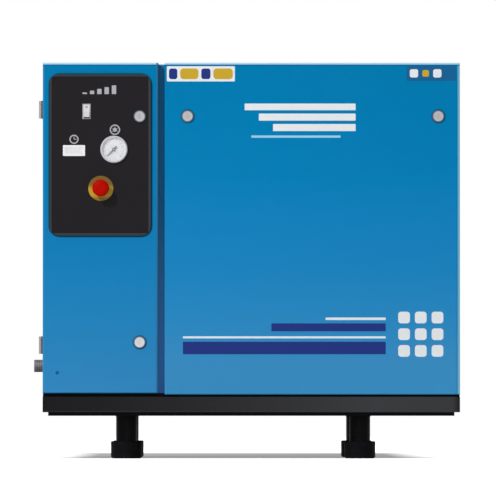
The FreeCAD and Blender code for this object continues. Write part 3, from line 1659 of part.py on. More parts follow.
# Rocker switch: a bezel with its body, and the rocker on a cross pin
rocker_opening = 16.6
rocker_cavity_depth = 12.0
bezel_height = 2.0
pivot_depth = 3.0
pivot_end = 1.0
bezel = box(
    rocker_x - rocker_bezel_width / 2,
    rocker_x + rocker_bezel_width / 2,
    fascia_front - bezel_height,
    fascia_front,
    rocker_z - rocker_bezel_height / 2,
    rocker_z + rocker_bezel_height / 2,
)
cavity = box(
    rocker_x - rocker_width / 2 - visible_gap,
    rocker_x + rocker_width / 2 + visible_gap,
    fascia_front - bezel_height,
    fascia_front + rocker_cavity_depth,
    rocker_z - rocker_opening,
    rocker_z + rocker_opening,
)
pivot_radius = 1.5
pivot_y = fascia_front + pivot_depth
pivot_start = (rocker_x - rocker_width / 2 - pivot_end, pivot_y, rocker_z)
pivot_length = rocker_width + 2 * pivot_end
bezel = bezel.fuse(rocker_body).cut(cavity)
bezel = bezel.cut(rod(pivot_start, along_x, pivot_radius + running_fit, pivot_length))
save("rocker_bezel", [bezel.removeSplitter()])
rocker_points = [
    (pivot_y - 8, -rocker_half_height),
    (pivot_y - 6.5, 0),
    (pivot_y - 8, rocker_half_height),
    (pivot_y - 2, rocker_half_height),
    (pivot_y + 4, 4),
    (pivot_y + 4, -4),
    (pivot_y - 2, -rocker_half_height),
]
rocker = outline_along_x(
    [(y, rocker_z + z) for y, z in rocker_points],
    rocker_x - rocker_width / 2,
    rocker_x + rocker_width / 2,
)
rocker = rocker.fuse(rod(pivot_start, along_x, pivot_radius, pivot_length))
rocker.rotate(FreeCAD.Vector(rocker_x, pivot_y, rocker_z), FreeCAD.Vector(1, 0, 0), -rocker_tilt)
save("rocker", [rocker.removeSplitter()])

# Hour meter: a flange in front of its body, and the window
meter_flange_thickness = 2.5
meter_corner = 2.0
window_half_width = 20.0
window_half_height = 8.0
window_depth = 1.0
meter_front = fascia_front - meter_flange_thickness
meter_flange = rounded_box(
    meter_x - meter_width / 2,
    meter_x + meter_width / 2,
    meter_front,
    fascia_front,
    meter_z - meter_height / 2,
    meter_z + meter_height / 2,
    meter_corner,
    along_y,
)
window = box(
    meter_x - window_half_width,
    meter_x + window_half_width,
    meter_front,
    meter_front + window_depth,
    meter_z - window_half_height,
    meter_z + window_half_height,
)
save("hour_meter", [meter_flange.cut(window).fuse(meter_body).removeSplitter()])

# Pressure gauge: case with its bezel, dial plate and fixed spindle
gauge_radius = gauge_diameter / 2
gauge_face_radius = gauge_face_diameter / 2
bezel_reach = 7.0
bezel_chamfer = 2.0
dial_seat = 1.0
dial_thickness = 0.6
spindle_radius = 1.2
spindle_length = 3.4
gauge_profile = [
    (0, back_depth),
    (gauge_body_radius, back_depth),
    (gauge_body_radius, 0),
    (gauge_radius, 0),
    (gauge_radius, -bezel_reach + bezel_chamfer),
    (gauge_radius - bezel_chamfer, -bezel_reach),
    (gauge_face_radius, -bezel_reach),
    (gauge_face_radius, -dial_seat),
    (0, -dial_seat),
]
gauge_case = turned(gauge_profile, (gauge_x, fascia_front, gauge_z), along_y)
dial_back = fascia_front - dial_seat
dial_front = dial_back - dial_thickness
dial = rod((gauge_x, dial_back, gauge_z), to_front, gauge_face_radius, dial_thickness)
spindle = rod((gauge_x, dial_front, gauge_z), to_front, spindle_radius, spindle_length)
save("gauge_case", [gauge_case, dial, spindle])

# Gauge needle on the spindle, pointing to the lower left at rest
needle_from_dial = 2.8
needle_thickness = 1.0
needle_boss_radius = 4.0
needle_boss_length = 1.4
needle_y = dial_front - needle_from_dial
needle_points = [(-9, -2), (0, -1.6), (23, -0.6), (23, 0.6), (0, 1.6), (-9, 2)]
needle_outline = [(gauge_x + x, gauge_z + z) for x, z in needle_points]
needle = outline_along_y(needle_outline, needle_y, needle_y + needle_thickness)
needle = needle.fuse(rod((gauge_x, needle_y, gauge_z), along_y, needle_boss_radius, needle_boss_length))
needle = needle.cut(rod((gauge_x, needle_y, gauge_z), along_y, spindle_radius + running_fit, needle_boss_length))
needle_rest_angle = 135.0
needle.rotate(FreeCAD.Vector(gauge_x, 0, gauge_z), FreeCAD.Vector(0, 1, 0), needle_rest_angle)
save("gauge_needle", [needle.removeSplitter()])

# Emergency stop: yellow disc, collar and contact block, then the pressing stem and the turning head
disc_thickness = 1.5
collar_reach = 11.0
collar_radius = 15.0
collar_chamfer = 1.0
stem_radius = 7.0
block_half_width = 15.0
block_half_height = 22.0
block_depth = 30.0
disc = tube((stop_x, fascia_front, stop_z), to_front, stop_disc_diameter / 2, stop_stem_radius, disc_thickness)
stem_bore = stem_radius + running_fit
collar_profile = [
    (stem_bore, -collar_reach),
    (collar_radius - collar_chamfer, -collar_reach),
    (collar_radius, -collar_reach + collar_chamfer),
    (collar_radius, -disc_thickness),
    (stop_stem_radius, -disc_thickness),
    (stop_stem_radius, back_depth),
    (stem_bore, back_depth),
]
collar = turned(collar_profile, (stop_x, fascia_front, stop_z), along_y)
block_start = fascia_front + back_depth
contact_block = box(
    stop_x - block_half_width,
    stop_x + block_half_width,
    block_start,
    block_start + block_depth,
    stop_z - block_half_height,
    stop_z + block_half_height,
)
save("estop_collar", [disc, collar, contact_block])
head_gap = stop_travel + 1
head_back = fascia_front - collar_reach - head_gap
stop_front = fascia_front - stop_reach + fascia_thickness
spigot_radius = 5.0
spigot_length = 8.0
spigot_room = 0.5
stem_end_gap = 2.0
stem_end = block_start - stop_travel - stem_end_gap
stem = rod((stop_x, head_back, stop_z), along_y, stem_radius, stem_end - head_back)
spigot = rod((stop_x, head_back, stop_z), to_front, spigot_radius, spigot_length)
save("estop_stem", [stem.fuse(spigot).removeSplitter()])
head_radius = stop_head_diameter / 2
head_chamfer = 4.0
head_face = stop_front - head_back
spigot_hole_end = -spigot_length - spigot_room
head_profile = [
    (spigot_radius + running_fit, -visible_gap),
    (head_radius - head_chamfer, -visible_gap),
    (head_radius, -head_chamfer),
    (head_radius, head_face + 6),
    (head_radius - 3, head_face + 2),
    (head_radius - 9, head_face),
    (0, head_face),
    (0, spigot_hole_end),
    (spigot_radius + running_fit, spigot_hole_end),
]
save("estop_head", [turned(head_profile, (stop_x, head_back, stop_z), along_y)])


# Quarter-turn locks: the body with its nut, and the core with its cam pointing down
cam_gap = 1.0
barrel_behind_pan = 1.0
core_recess = 0.5
lock_slot_half_width = 1.0
lock_slot_depth = 2.0
lock_slot_half_length = 5.0
lock_nut_flats = 26.0
nut_thickness = 6.0
cam_screw_flats = 10.0
cam_screw_height = 5.0
cam_back = frame_flange_back + cam_gap + lock_cam_thickness


def lock_body(x, z, face_y):
    core_bore = lock_core_diameter / 2 + running_fit
    barrel_end = pan_back + barrel_behind_pan
    head_front = face_y - lock_head_thickness
    profile = [
        (core_bore, 0),
        (lock_head_diameter / 2 - lock_head_chamfer, 0),
        (lock_head_diameter / 2, lock_head_chamfer),
        (lock_head_diameter / 2, lock_head_thickness),
        (lock_barrel_diameter / 2, lock_head_thickness),
        (lock_barrel_diameter / 2, barrel_end - head_front),
        (core_bore, barrel_end - head_front),
    ]
    body = turned(profile, (x, head_front, z), along_y)
    skin_back = front + panel_sheet
    nut = hexagon((x, skin_back, z), along_y, lock_nut_flats, nut_thickness)
    nut = nut.cut(rod((x, skin_back, z), along_y, lock_barrel_diameter / 2, nut_thickness))
    return [body, nut]


def lock_core(x, z, face_y):
    core_front = face_y - lock_head_thickness + core_recess
    cam_front = cam_back - lock_cam_thickness
    core = rod((x, core_front, z), along_y, lock_core_diameter / 2, cam_back - core_front)
    slot = box(
        x - lock_slot_half_width,
        x + lock_slot_half_width,
        core_front,
        core_front + lock_slot_depth,
        z - lock_slot_half_length,
        z + lock_slot_half_length,
    )
    cam = box(x - lock_cam_width / 2, x + lock_cam_width / 2, cam_front, cam_back, z - lock_cam_length, z)
    cam_round = rod((x, cam_front, z), along_y, lock_cam_width / 2 + 1, lock_cam_thickness)
    cam_screw = hexagon((x, cam_back, z), along_y, cam_screw_flats, cam_screw_height)
    return [fused(core.cut(slot), [cam, cam_round]), cam_screw]


lower = lock_body(door_lock_x, door_lock_lower_z, front)
save("door_lock_bodies", lock_body(door_lock_x, door_lock_upper_z, fascia_front) + lower)
save("door_lock_upper", lock_core(door_lock_x, door_lock_upper_z, fascia_front))
save("door_lock_lower", lock_core(door_lock_x, door_lock_lower_z, front))
left_body = lock_body(panel_lock_left_x, panel_lock_z, front)
save("panel_lock_bodies", left_body + lock_body(panel_lock_right_x, panel_lock_z, front))
save("panel_lock_left", lock_core(panel_lock_left_x, panel_lock_z, front))
save("panel_lock_right", lock_core(panel_lock_right_x, panel_lock_z, front))

# Front panel with two lock holes and the locating pins at its foot
panel = folded_pan(panel_left, right, panel_bottom, cabinet_top)
for x in (panel_lock_left_x, panel_lock_right_x):
    panel = panel.cut(rod((x, front, panel_lock_z), along_y, barrel_hole, pan_depth))
locating_pins = []
for x in pin_places:
    pin_start = front + panel_sheet
    pin_end = frame_front + locating_pin_length
    pin = rod((x, pin_start, pin_z), along_y, locating_pin_diameter / 2, pin_end - pin_start)
    locating_pins.append(pin)
panel_seal = seal_strips(panel_left + seal_inset, right - seal_outer_inset, panel_bottom + seal_inset, seal_high)
pin_room = Part.makeCompound(locating_pins)
save("front_panel", [panel.cut(pin_room)] + locating_pins)

# Front panel foam and its rubber seal
front_foam = pan_foam(panel_left, right, panel_bottom, cabinet_top).cut(pin_room)
for x in (panel_lock_left_x, panel_lock_right_x):
    front_foam = front_foam.cut(rod((x, front, panel_lock_z), along_y, foam_hole_radius, pan_depth))
save("front_panel_foam", [front_foam] + [strip.cut(pin_room) for strip in panel_seal])
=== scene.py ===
import math
import bmesh
import bpy
from mathutils import Matrix, Vector


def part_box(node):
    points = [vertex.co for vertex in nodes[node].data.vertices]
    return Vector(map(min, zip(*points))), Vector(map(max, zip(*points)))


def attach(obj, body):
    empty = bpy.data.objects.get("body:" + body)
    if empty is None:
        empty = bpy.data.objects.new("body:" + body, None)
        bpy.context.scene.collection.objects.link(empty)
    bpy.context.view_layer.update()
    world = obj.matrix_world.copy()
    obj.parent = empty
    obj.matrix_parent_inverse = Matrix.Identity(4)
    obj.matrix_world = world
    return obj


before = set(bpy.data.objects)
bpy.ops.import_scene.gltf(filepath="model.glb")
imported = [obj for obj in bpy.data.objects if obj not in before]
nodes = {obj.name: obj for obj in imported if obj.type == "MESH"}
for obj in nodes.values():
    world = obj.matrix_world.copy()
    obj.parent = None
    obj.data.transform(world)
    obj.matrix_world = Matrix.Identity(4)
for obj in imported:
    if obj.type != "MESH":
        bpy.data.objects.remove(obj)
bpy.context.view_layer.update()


# Feet: four black rubber buffers, moulded with a chamfer above and below.
# Each is held up against its leg by a bolt from underneath, and picks up
# dust from the floor around its lower edge.
class Wire:
    """A shader output that adds, multiplies and steps like a number."""

    def __init__(self, look, output):
        self.look = look
        self.output = output

    def maths(self, operation, *others):
        return self.look.node("Math", {"operation": operation}, dict(enumerate((self,) + others)))

    def __add__(self, other):
        return self.maths("ADD", other)

    def __mul__(self, other):
        return self.maths("MULTIPLY", other)

    __radd__, __rmul__ = __add__, __mul__

    def __sub__(self, other):
        return self.maths("SUBTRACT", other)

    def __rsub__(self, other):
        return self.look.node("Math", {"operation": "SUBTRACT"}, {0: other, 1: self})

    def __truediv__(self, other):
        return self.maths("DIVIDE", other)

    def __rtruediv__(self, other):
        return self.look.node("Math", {"operation": "DIVIDE"}, {0: other, 1: self})

    def above(self, level, softness):
        """0 below the level and 1 above it, with a soft step between."""
        limits = {"Value": self, "From Min": level - softness, "From Max": level + softness}
        return self.look.node("MapRange", {}, limits)


class Look:
    """A material built by wiring shader nodes together."""

    sockets = {
        "base": "Base Color", "roughness": "Roughness", "metallic": "Metallic", "normal": "Normal",
        "specular": "Specular IOR Level", "tint": "Specular Tint", "alpha": "Alpha", "sheen": "Sheen Weight",
        "emission": "Emission Color", "glow": "Emission Strength", "coat": "Coat Weight",
    }

    def __init__(self, name):
        self.material = bpy.data.materials.new(name)
        self.material.use_nodes = True
        self.tree = self.material.node_tree
        self.surface = self.tree.nodes["Principled BSDF"]

    def node(self, kind, settings, inputs, output=0):
        """A node of a kind: its settings and a ramp's stops are set first, then its sockets."""
        made = self.tree.nodes.new("ShaderNode" + kind)
        for key, value in settings.items():
            if key == "stops":
                elements = made.color_ramp.elements
                while len(elements) < len(value):
                    elements.new(0.5)
                for element, (position, colour) in zip(elements, value):
                    element.position, element.color = position, colour
            else:
                setattr(made, key, value)
        for key, value in inputs.items():
            self.plug(made.inputs[key], value)
        return Wire(self, made.outputs[output])

    def plug(self, socket, value):
        if isinstance(value, Wire):
            self.tree.links.new(value.output, socket)
        else:
            socket.default_value = value

    def place(self):
        """Object coordinates in metres."""
        return self.node("TexCoord", {}, {}, "Object")

    def axes(self):
        """The three object coordinates as separate wires."""
        split = self.node("SeparateXYZ", {}, {0: self.place()}).output.node
        return [Wire(self, output) for output in split.outputs]

    def noise(self, scale, detail=3.0, roughness=0.5, stretch=None):
        where = self.place()
        if stretch:
            where = self.node("VectorMath", {"operation": "MULTIPLY"}, {0: where, 1: stretch})
        grain = {"Vector": where, "Scale": scale, "Detail": detail, "Roughness": roughness}
        return self.node("TexNoise", {}, grain)

    def blend(self, factor, first, second):
        """Mixes two colours; the node's colour sockets are inputs 6 and 7 and output 2."""
        return self.node("Mix", {"data_type": "RGBA"}, {0: factor, 6: first, 7: second}, 2)

    def ramp(self, factor, stops):
        """A colour that runs through several stops as the factor goes from 0 to 1."""
        return self.node("ValToRGB", {"stops": stops}, {0: factor})

    def inside(self, low, high, softness=0.0003):
        """1 inside a box of object space and 0 outside it; None leaves a side open."""
        mask = 1.0
        for axis, start, end in zip(self.axes(), low, high):
            if start is not None:
                mask = axis.above(start, softness) * mask
            if end is not None:
                mask = (1.0 - axis.above(end, softness)) * mask
        return mask

    def window(self, x, z, half_width, half_height):
        """1 inside an upright rectangle around a point of the front."""
        return self.inside((x - half_width, None, z - half_height),
                           (x + half_width, None, z + half_height))

    def from_axis(self, centre):
        """Distance in metres from a line along Y through a point of the front."""
        axes = self.axes()
        across = axes[0] - centre[0]
        up = axes[2] - centre[1]
        return (across * across + up * up).maths("SQRT")

    def bump(self, height, strength, distance):
        return self.node("Bump", {}, {"Strength": strength, "Distance": distance, "Height": height})

    def set(self, **inputs):
        for key, value in inputs.items():
            self.plug(self.surface.inputs[self.sockets[key]], value)
        return self


def rgb(red, green, blue):
    """Linear colour of an 8-bit screen colour."""
    parts = [value / 255 for value in (red, green, blue)]
    return [part / 12.92 if part <= 0.04045 else ((part + 0.055) / 1.055) ** 2.4 for part in parts] + [1.0]


def shades(colour, change):
    """A darker and a lighter version of a colour."""
    return [[part * scale for part in colour[:3]] + [1.0] for scale in (1 - change, 1 + change)]


def finish_with(look, *names):
    """Gives CAD nodes a look and leaves their shapes alone."""
    for name in names:
        mesh = nodes[name].data
        mesh.materials.clear()
        mesh.materials.append(look.material)


def rubber(name, colour, roughness=0.6):
    """Moulded rubber: fine grain, scuffs, and floor dust near the floor."""
    dust_top = 0.006
    look = Look(name)
    dark, light = shades(colour, 0.25)
    grain = look.noise(700.0, 4.0, 0.6)
    scuff = look.noise(60.0, 5.0, 0.7).above(0.6, 0.08)
    low = 1.0 - look.axes()[2].above(dust_top, dust_top)
    base = look.blend(scuff * 0.03 + low * 0.03, look.blend(look.noise(25.0), dark, light), rgb(92, 90, 86))
    rough = look.noise(90.0) * 0.16 + (roughness - 0.08)
    return look.set(base=base, roughness=rough, normal=look.bump(grain, 0.12, 0.0005), specular=0.05)


black_rubber = rubber("black_rubber", rgb(13, 12, 15))
finish_with(black_rubber, "feet")


# Legs, base frame and floor tray: welded tubes and rails under a satin black
# powder coat. A bead of weld joins each leg to the tray. The frame's coat is
# painted paler towards the right as painted light, with a painted highlight
# along the front rail's rolled lower edge and painted shade along its top.
def powder_coat(name, colour, roughness=0.42, specular=0.16):
    """Powder coat: fine orange peel, uneven gloss, a trace of dust."""
    look = Look(name)
    dark, light = shades(colour, 0.08)
    peel = look.noise(900.0, 2.0)
    dust = look.noise(40.0, 6.0, 0.7).above(0.62, 0.06)
    base = look.blend(dust * 0.015, look.blend(look.noise(3.0, 4.0), dark, light), rgb(150, 150, 145))
    rough = look.noise(14.0, 3.0) * 0.12 + (roughness - 0.06)
    return look.set(base=base, roughness=rough, normal=look.bump(peel, 0.05, 0.0004), specular=specular)


base_width, base_reach = 1.0, 0.49
front_rail_back, rail_shade = -0.3, 0.1485
rail_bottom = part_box("base_frame")[0][2]
base_paint = powder_coat("base_paint", rgb(24, 23, 25), 0.45, 0.07)
# Painted light: the coat is painted paler towards the right, where more light falls.
base_light_and_shade = base_paint.ramp((base_paint.axes()[0] + base_reach) / base_width, [
    (0.0, rgb(18, 17, 19)), (0.012, rgb(22, 21, 24)), (0.12, rgb(26, 24, 27)), (0.31, rgb(35, 34, 36)),
    (0.55, rgb(47, 47, 49)), (0.8, rgb(58, 59, 61)), (0.985, rgb(55, 56, 58)), (1.0, rgb(28, 26, 29)),
])
# Painted highlight along the front rail's rolled lower edge.
rolled_edge_highlight = base_paint.inside((None, None, rail_bottom + 0.0006),
                                (None, front_rail_back, rail_bottom + 0.003), 0.0008)
# Painted shade along the top of the frame, under the cabinet.
shaded_top = base_paint.inside((None, None, rail_shade), (None, None, None), 0.0006)
base_light_and_shade = base_paint.blend(shaded_top, base_light_and_shade, rgb(12, 11, 14))
base_paint.set(base=base_paint.blend(rolled_edge_highlight * 0.5, base_light_and_shade, rgb(56, 55, 58)))
leg_paint = powder_coat("leg_paint", rgb(15, 14, 16), 0.42, 0.05)
finish_with(base_paint, "base_frame")
finish_with(powder_coat("tray_paint", rgb(15, 14, 17), 0.5, 0.04), "base_tray")
finish_with(leg_paint, "legs")


def turned(shape, outline, centre, axis, steps=48, closed=False):
    """Spins an outline of (radius, height) points around an axis through centre."""
    axis = Vector(axis).normalized()
    outward = axis.orthogonal().normalized()
    points = [shape.verts.new(Vector(centre) + outward * radius + axis * height) for radius, height in outline]
    edges = [shape.edges.new(pair) for pair in zip(points, points[1:])]
    if closed:
        edges.append(shape.edges.new((points[-1], points[0])))
    bmesh.ops.spin(shape, geom=points + edges, cent=centre, axis=axis, angle=math.tau, steps=steps,
                   use_merge=True)


def add_piece(name, shape, look, body, sharp=35.0):
    """Makes a finished shape an object of its own that rides on a body."""
    bmesh.ops.remove_doubles(shape, verts=shape.verts, dist=0.000002)
    bmesh.ops.recalc_face_normals(shape, faces=shape.faces)
    mesh = bpy.data.meshes.new(name)
    shape.to_mesh(mesh)
    shape.free()
    mesh.shade_smooth()
    mesh.set_sharp_from_angle(angle=math.radians(sharp))
    mesh.materials.append(look.material)
    piece = bpy.data.objects.new(name, mesh)
    bpy.context.scene.collection.objects.link(piece)
    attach(piece, body)


leg_radius = 0.025
leg_places = [(leg_x, leg_y) for leg_y in (-0.218, 0.232) for leg_x in (-0.288, 0.2735)]
ripples, ripple_height = 18, 0.0003
tray_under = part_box("base_tray")[0][2]
leg_welds = bmesh.new()
for leg_x, leg_y in leg_places:
    bead = [(leg_radius - 0.001, 0.0), (leg_radius + 0.0015, 0.0), (leg_radius + 0.0012, -0.0008),
            (leg_radius + 0.0006, -0.0016), (leg_radius - 0.001, -0.0022)]
    turned(leg_welds, bead, (leg_x, leg_y, tray_under), (0, 0, 1), 72, closed=True)
for vertex in leg_welds.verts:
    leg_x, leg_y = min(leg_places, key=lambda place: (vertex.co.xy - Vector(place)).length)
    turn = math.atan2(vertex.co.y - leg_y, vertex.co.x - leg_x)
    if vertex.co.z < tray_under - 0.0006:
        vertex.co.z += ripple_height * math.sin(ripples * turn)
add_piece("leg_welds", leg_welds, leg_paint, "base", 60.0)

# Inner frame: folded angles under a dark blue powder coat. The centre post
# shows in the gap between the door and the front panel. Painted shade makes it
# darker towards the top, where less light reaches into the gap, and its foot is
# painted near black as painted shadow at the bottom of the gap.
cabinet_foot, cabinet_height = 0.15, 0.8
post_shade = 0.1572
frame_paint = powder_coat("frame_paint", rgb(20, 70, 110), 0.5, 0.1)
# Painted shadow: the post's foot is painted near black at the bottom of the gap.
post_foot_shadow = 1.0 - frame_paint.axes()[2].above(post_shade, 0.0004)
# Painted shade: the post is darker towards the top of the gap.
post_light_and_shade = frame_paint.ramp((frame_paint.axes()[2] - cabinet_foot) / cabinet_height, [
    (0.0, rgb(84, 148, 216)), (0.2, rgb(76, 145, 206)), (0.42, rgb(60, 138, 184)), (0.55, rgb(38, 124, 170)),
    (1.0, rgb(28, 120, 168)),
])
frame_paint.set(base=frame_paint.blend(post_foot_shadow, post_light_and_shade, rgb(10, 12, 18)))
finish_with(frame_paint, "posts")

# Cabinet sheets: flat steel under a bright blue powder coat, spot welded to
# the posts at the sides and screwed on at the roof and the rear. The colour is
# painted a little paler near the floor, as painted light from the white floor,
# and the folded edges carry painted highlights and painted shade.
post_lines = (-0.268, 0.308)
weld_pitch, weld_radius = 0.09, 0.0032
# Painted light: the blue is painted paler towards the floor, as light reflected from the white floor.
blue_floor_light_stops = [
    (0.02, rgb(61, 142, 194)), (0.11, rgb(59, 140, 193)), (0.19, rgb(48, 137, 192)), (0.27, rgb(40, 134, 191)),
    (0.38, rgb(28, 130, 188)), (0.53, rgb(18, 127, 187)), (0.67, rgb(4, 124, 180)), (0.86, rgb(0, 121, 175)),
    (0.99, rgb(0, 119, 170)),
]


def cabinet_paint(name, bands=(), welds=False, stops=blue_floor_light_stops):
    """Blue powder coat: orange peel, painted light that pales it towards the floor, and bands of painted
    highlight and shade along the folds.
    """
    look = Look(name)
    y, z = look.axes()[1:]
    tone = look.ramp((z - cabinet_foot) / cabinet_height, stops)
    dust = look.noise(40.0, 6.0, 0.7).above(0.62, 0.06)
    base = look.blend(look.noise(3.0, 4.0) * 0.04, tone, rgb(80, 155, 205))
    base = look.blend(dust * 0.008, base, rgb(150, 170, 180))
    for low, high, softness, strength, shine in bands:
        base = look.blend(look.inside(low, high, softness) * strength, base, shine)
    rough = look.noise(14.0, 3.0) * 0.05 + 0.41
    height = look.noise(900.0, 2.0) * 0.02
    if welds:
        step = z.maths("MODULO", weld_pitch) - weld_pitch / 2
        for line in post_lines:
            near = y - line
            away = (near * near + step * step).maths("SQRT")
            height = away.above(weld_radius, 0.0012) + height
    normal = look.bump(height, 0.5, 0.0006)
    return look.set(base=base, roughness=rough, normal=normal, specular=0.3, tint=rgb(2, 150, 210))


cabinet_low, cabinet_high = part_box("roof_panel")
door_low, door_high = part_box("door_panel")
left_edge, right_edge, roof_edge = cabinet_low[0], cabinet_high[0], door_high[2]
front_y = door_low[1]
fold_y = front_y + 0.0026


def band(colour, strength, softness, left=None, right=None, low=None, high=None, back=fold_y):
    """A stripe of painted light along a fold, lighter or darker than the coat: its box, the softness of its
    edges, strength and colour.
    """
    return (left, None, low), (right, back, high), softness, strength, colour


side_paint = cabinet_paint("panel_paint", welds=True)
finish_with(side_paint, "left_panel", "right_panel", "rear_panel")
# Painted highlight along the roof's front fold.
roof_shine = band(rgb(226, 240, 246), 1.0, 0.0008, back=cabinet_low[1] + 0.004)
finish_with(cabinet_paint("roof_paint", [roof_shine]), "roof_panel")


def button_screw(shape, centre, axis, radius=0.0045, height=0.0017):
    """A low round screw head with a socket, standing out from a face along axis."""
    outline = [(0.0, height * 0.4), (radius * 0.4, height * 0.4), (radius * 0.45, height),
               (radius * 0.75, height * 0.85), (radius, height * 0.3), (radius, -0.0002), (0.0, -0.0002)]
    turned(shape, outline, centre, axis, 18)


roof_face, rear_face, rear_top_row = 0.947, 0.327, 0.927
screw_columns = (-0.468, -0.23, 0.012, 0.25, 0.492)
screw_black = powder_coat("screw_black", rgb(34, 34, 38), 0.35, 0.4)
sheet_screws = bmesh.new()
for screw_x in screw_columns:
    for screw_y in post_lines:
        button_screw(sheet_screws, (screw_x, screw_y, roof_face), (0, 0, 1))
    button_screw(sheet_screws, (screw_x, rear_face, rear_top_row), (0, 1, 0))
for screw_x in (screw_columns[0], screw_columns[-1]):
    for screw_z in (0.19, 0.43, 0.68):
        button_screw(sheet_screws, (screw_x, rear_face, screw_z), (0, 1, 0))
add_piece("sheet_screws", sheet_screws, screw_black, "base")


# Partition and motor slide rails: zinc plated steel. The partition divides
# the control bay from the machine bay, and the rails are bolted to the bed.
def plated(name, colour, roughness=0.32, grain=(1.0, 1.0, 1.0), metallic=1.0):
    """Zinc plate or bare metal: streaks along the grain and dull patches."""
    look = Look(name)
    dark, light = shades(colour, 0.12)
    streak = look.noise(160.0, 5.0, 0.6, grain)
    rough = look.noise(12.0, 4.0) * 0.2 + streak * 0.12 + (roughness - 0.14)
    return look.set(base=look.blend(streak, dark, light), metallic=metallic, roughness=rough,
                    normal=look.bump(streak, 0.05, 0.0003))


rolled_grain = (0.3, 1.0, 6.0)
finish_with(plated("zinc_sheet", rgb(176, 178, 182), 0.38, rolled_grain, 0.8), "partition", "motor_rails")


# Sound foam: open-cell charcoal slabs glued inside the sheets, the door and
# the front panel, with strips of the same foam as seals at their edges.
def foam(name, colour):
    """Open-cell foam: dark cells in soft lumps."""
    look = Look(name)
    cells = look.node("TexVoronoi", {}, {"Vector": look.place(), "Scale": 260.0})
    lumps = look.noise(30.0, 4.0)
    dark, light = shades(colour, 0.45)
    return look.set(base=look.blend(cells, dark, light), roughness=lumps * 0.1 + 0.86, sheen=0.2, specular=0.1,
                    normal=look.bump(cells + lumps, 0.7, 0.003))


finish_with(foam("sound_foam", rgb(70, 70, 74)), "foam_lining", "door_foam", "front_panel_foam")

# Outlet fitting: a dull nickel plated coupling through the left sheet, with a
# knurled collar that the pipe is screwed into; its lower half is painted darker
# as painted shade, and dark rings along it are painted shade in its grooves.
ridge_pitch = 0.005
outlet_low, outlet_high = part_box("outlet_fitting")
outlet_z = (outlet_low[2] + outlet_high[2]) / 2
nickel = Look("nickel")
knurl = nickel.noise(220.0, 3.0, 0.6, (1.0, 4.0, 4.0))
# Painted shade: the lower half of the fitting is painted darker.
painted_light_upper = nickel.axes()[2].above(outlet_z - 0.001, 0.004)
# Painted shade in the knurl's grooves: dark rings along the collar.
ridge_shade = nickel.axes()[0].maths("MODULO", ridge_pitch).maths("ABSOLUTE").above(0.0026, 0.0008)
nickel_light_and_shade = nickel.blend(painted_light_upper, rgb(140, 131, 124), rgb(154, 150, 147))
nickel_light_and_shade = nickel.blend(ridge_shade * 0.35, nickel_light_and_shade, rgb(66, 64, 66))
nickel.set(base=nickel.blend(knurl * 0.4, nickel_light_and_shade, rgb(64, 62, 66)), metallic=0.35,
           roughness=knurl * 0.2 + 0.42, specular=0.3, normal=nickel.bump(knurl, 0.3, 0.0006))
finish_with(nickel, "outlet_fitting")


# Cable gland, filter canister, switch cover and fans: black moulded plastic
# with a fine texture and handling marks.
def plastic(name, colour, roughness=0.4, specular=0.5):
    """Moulded plastic: fine texture, uneven gloss."""
    look = Look(name)
    dark, light = shades(colour, 0.08)
    texture = look.noise(1200.0, 2.0)
    rough = look.noise(35.0, 5.0, 0.65) * 0.14 + (roughness - 0.07)
    return look.set(base=look.blend(look.noise(9.0, 3.0), dark, light), roughness=rough,
                    normal=look.bump(texture, 0.1, 0.0003), specular=specular)


black_plastic = plastic("black_plastic", rgb(34, 33, 36), specular=0.25)
finish_with(black_plastic, "cable_gland", "vent_fan", "intake_filter", "pressure_switch", "motor_fan")

# Hinges: dull plated steel leaves turning on pins, each leaf held by two
# button screws. The leaf's outer edge carries a painted highlight and its inner
# part painted shade.
leaf_step, leaf_face = -0.4915, -0.4905
leaf_screw_size = (0.0036, 0.0015)
hinge_steel = Look("hinge_steel")
hinge_grain = hinge_steel.noise(160.0, 5.0, 0.6)
# Painted highlight on the leaf's outer edge, painted shade on its inner part.
hinge_inner_shade = hinge_steel.axes()[0].above(leaf_step, 0.0012)
hinge_light_and_shade = hinge_steel.blend(hinge_inner_shade, rgb(168, 166, 169), rgb(92, 88, 92))
hinge_steel.set(base=hinge_steel.blend(hinge_grain * 0.3, hinge_light_and_shade, rgb(110, 108, 110)), metallic=0.4,
                roughness=hinge_grain * 0.2 + 0.36, specular=0.3,
                normal=hinge_steel.bump(hinge_grain, 0.05, 0.0003))
finish_with(hinge_steel, "hinge_fixed_leaves", "hinge_moving_leaves")
for leaf_name, leaf_y, leaf_body in (("fixed", -0.266, "base"), ("moving", -0.3015, "door")):
    leaf_screws = bmesh.new()
    for hinge_z in (0.272, 0.837):
        for screw_z in (hinge_z - 0.012, hinge_z + 0.012):
            button_screw(leaf_screws, (leaf_face, leaf_y, screw_z), (-1, 0, 0), *leaf_screw_size)
    add_piece("hinge_screws_" + leaf_name, leaf_screws, screw_black, leaf_body)

# Cooling fan: a black coated plate with its ring and a guard of plated wire,
# bolted behind the slots of the rear sheet.
guard_steel = plated("guard_steel", rgb(150, 150, 154), 0.36)
finish_with(guard_steel, "fan_guard")
finish_with(powder_coat("fan_paint", rgb(40, 39, 42)), "fan_shroud")

# Machine bed: folded steel under the same black coat as the base, set on four
# rubber dampers that keep the pump's shaking out of the cabinet.
finish_with(powder_coat("bed_paint", rgb(40, 39, 42)), "machine_bed")
finish_with(black_rubber, "dampers")


